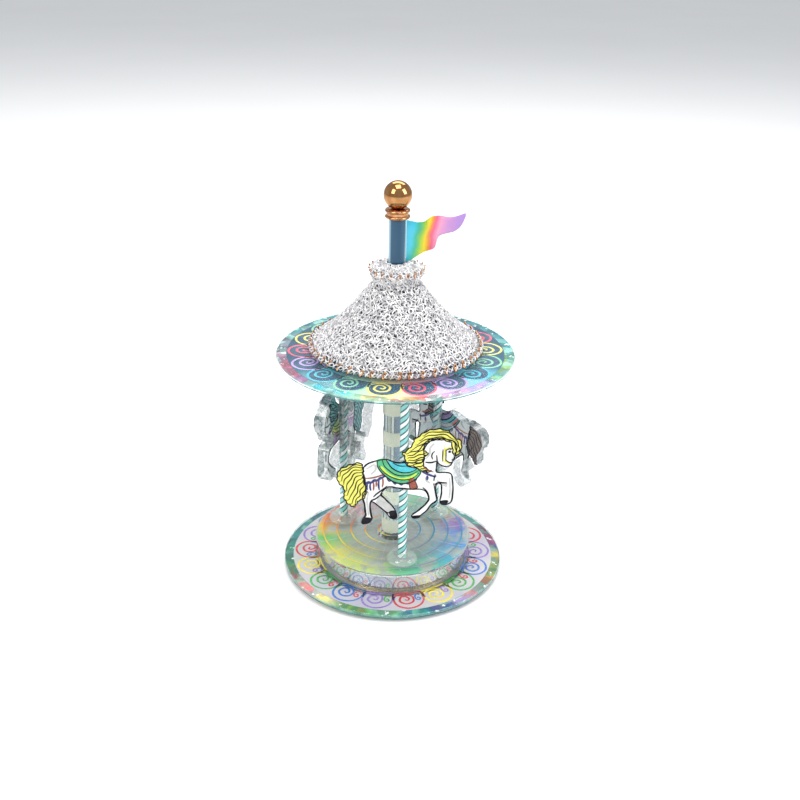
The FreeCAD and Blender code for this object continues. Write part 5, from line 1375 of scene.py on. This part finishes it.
# the ring's beads and the waist between them: lift, height and how full the bead is
finial = {"beads": [(0, 1.9, 1.0), (1.9, 1.2, 0.0), (3.1, 1.9, 1.0)], "bulge": 0.9, "beadSteps": 6}


def makeFinial(gilt):
    r, low, high = sizesOf("finial_ring")
    bulge = finial["bulge"]
    bead = []
    for lift, tall, full in finial["beads"]:
        for k in range(finial["beadSteps"] + 1):
            share = k / finial["beadSteps"]
            swell = bulge * full * math.sin(math.pi * share) ** 0.6
            bead.append((r - bulge + swell, low + lift + tall * share))
    shape = Shape()
    lathe(shape, [(0, low)] + bead + [(0, high)], 72)
    makePiece("finial_beads", shape, [gilt], "carousel", crisp=45, replaces=["finial_ring"])

    radius = radiusOf("finial_ball")
    centre = topOf("finial_ball") - radius
    arc = [(radius * math.sin(math.radians(q)), centre - radius * math.cos(math.radians(q)))
           for q in range(0, 181, 4)]
    arc[0], arc[-1] = (0, arc[0][1]), (0, arc[-1][1])
    shape = Shape()
    lathe(shape, arc, 96)
    shine = metal("gilt_ball", (0.34, 0.15, 0.05), (0.50, 0.26, 0.11), 0.03, 0.09, 300)
    makePiece("finial_globe", shape, [shine], "carousel", crisp=60,
              replaces=["finial_ball"])


makeFlagPole()
makeFlag()
makeFinial(gilt)
print("flag and finial made")


works = {
    "brass": ["movement_bed", "inner_bearing", "outer_bearing", "comb_block", "governor_frame",
              "spring_barrel",
              "barrel_lid", "turntable_hub", "tune_cylinder", "tune_wheel", "worm_wheel",
              "tune_pinion"],
    "steel": ["bed_screws", "bearing_screws", "comb", "comb_screws", "clutch_spring", "mainspring",
              "hub_screws",
              "tune_arbor", "governor_arbor", "governor_pinion", "governor_worm", "winding_arbor",
              "key_boss",
              "key_trunnions", "key_ring"],
    "clear": ["bumper_feet", "air_brake", "turntable"],
    "cover": ["base_cover"],
}


def makeWorks():
    brass = metal("brass_plate", (0.50, 0.33, 0.10), (0.68, 0.47, 0.17), 0.2, 0.36, 500, 0.2)
    steel = metal("steel_ground", (0.38, 0.39, 0.41), (0.56, 0.57, 0.59), 0.18, 0.34, 600, 0.2)
    clear = twoTone("plastic_clear", 200, ((0.80, 0.84, 0.85), (0.93, 0.95, 0.95)), 2,
                    Roughness=0.2, IOR=1.46, Transmission_Weight=0.8)
    cover = twoTone("plastic_silver", 900, ((0.46, 0.48, 0.50), (0.60, 0.62, 0.63)), 4,
                    Roughness=0.4, IOR=1.5, Metallic=0.4)
    cover.bump(cover.noise(3500, 3), 0.25, 0.00008)
    kinds = {"brass": brass, "steel": steel, "clear": clear.material, "cover": cover.material}
    for kind, names in works.items():
        for name in names:
            dress(nodes[name], kinds[kind])


makeWorks()
print("movement finished")
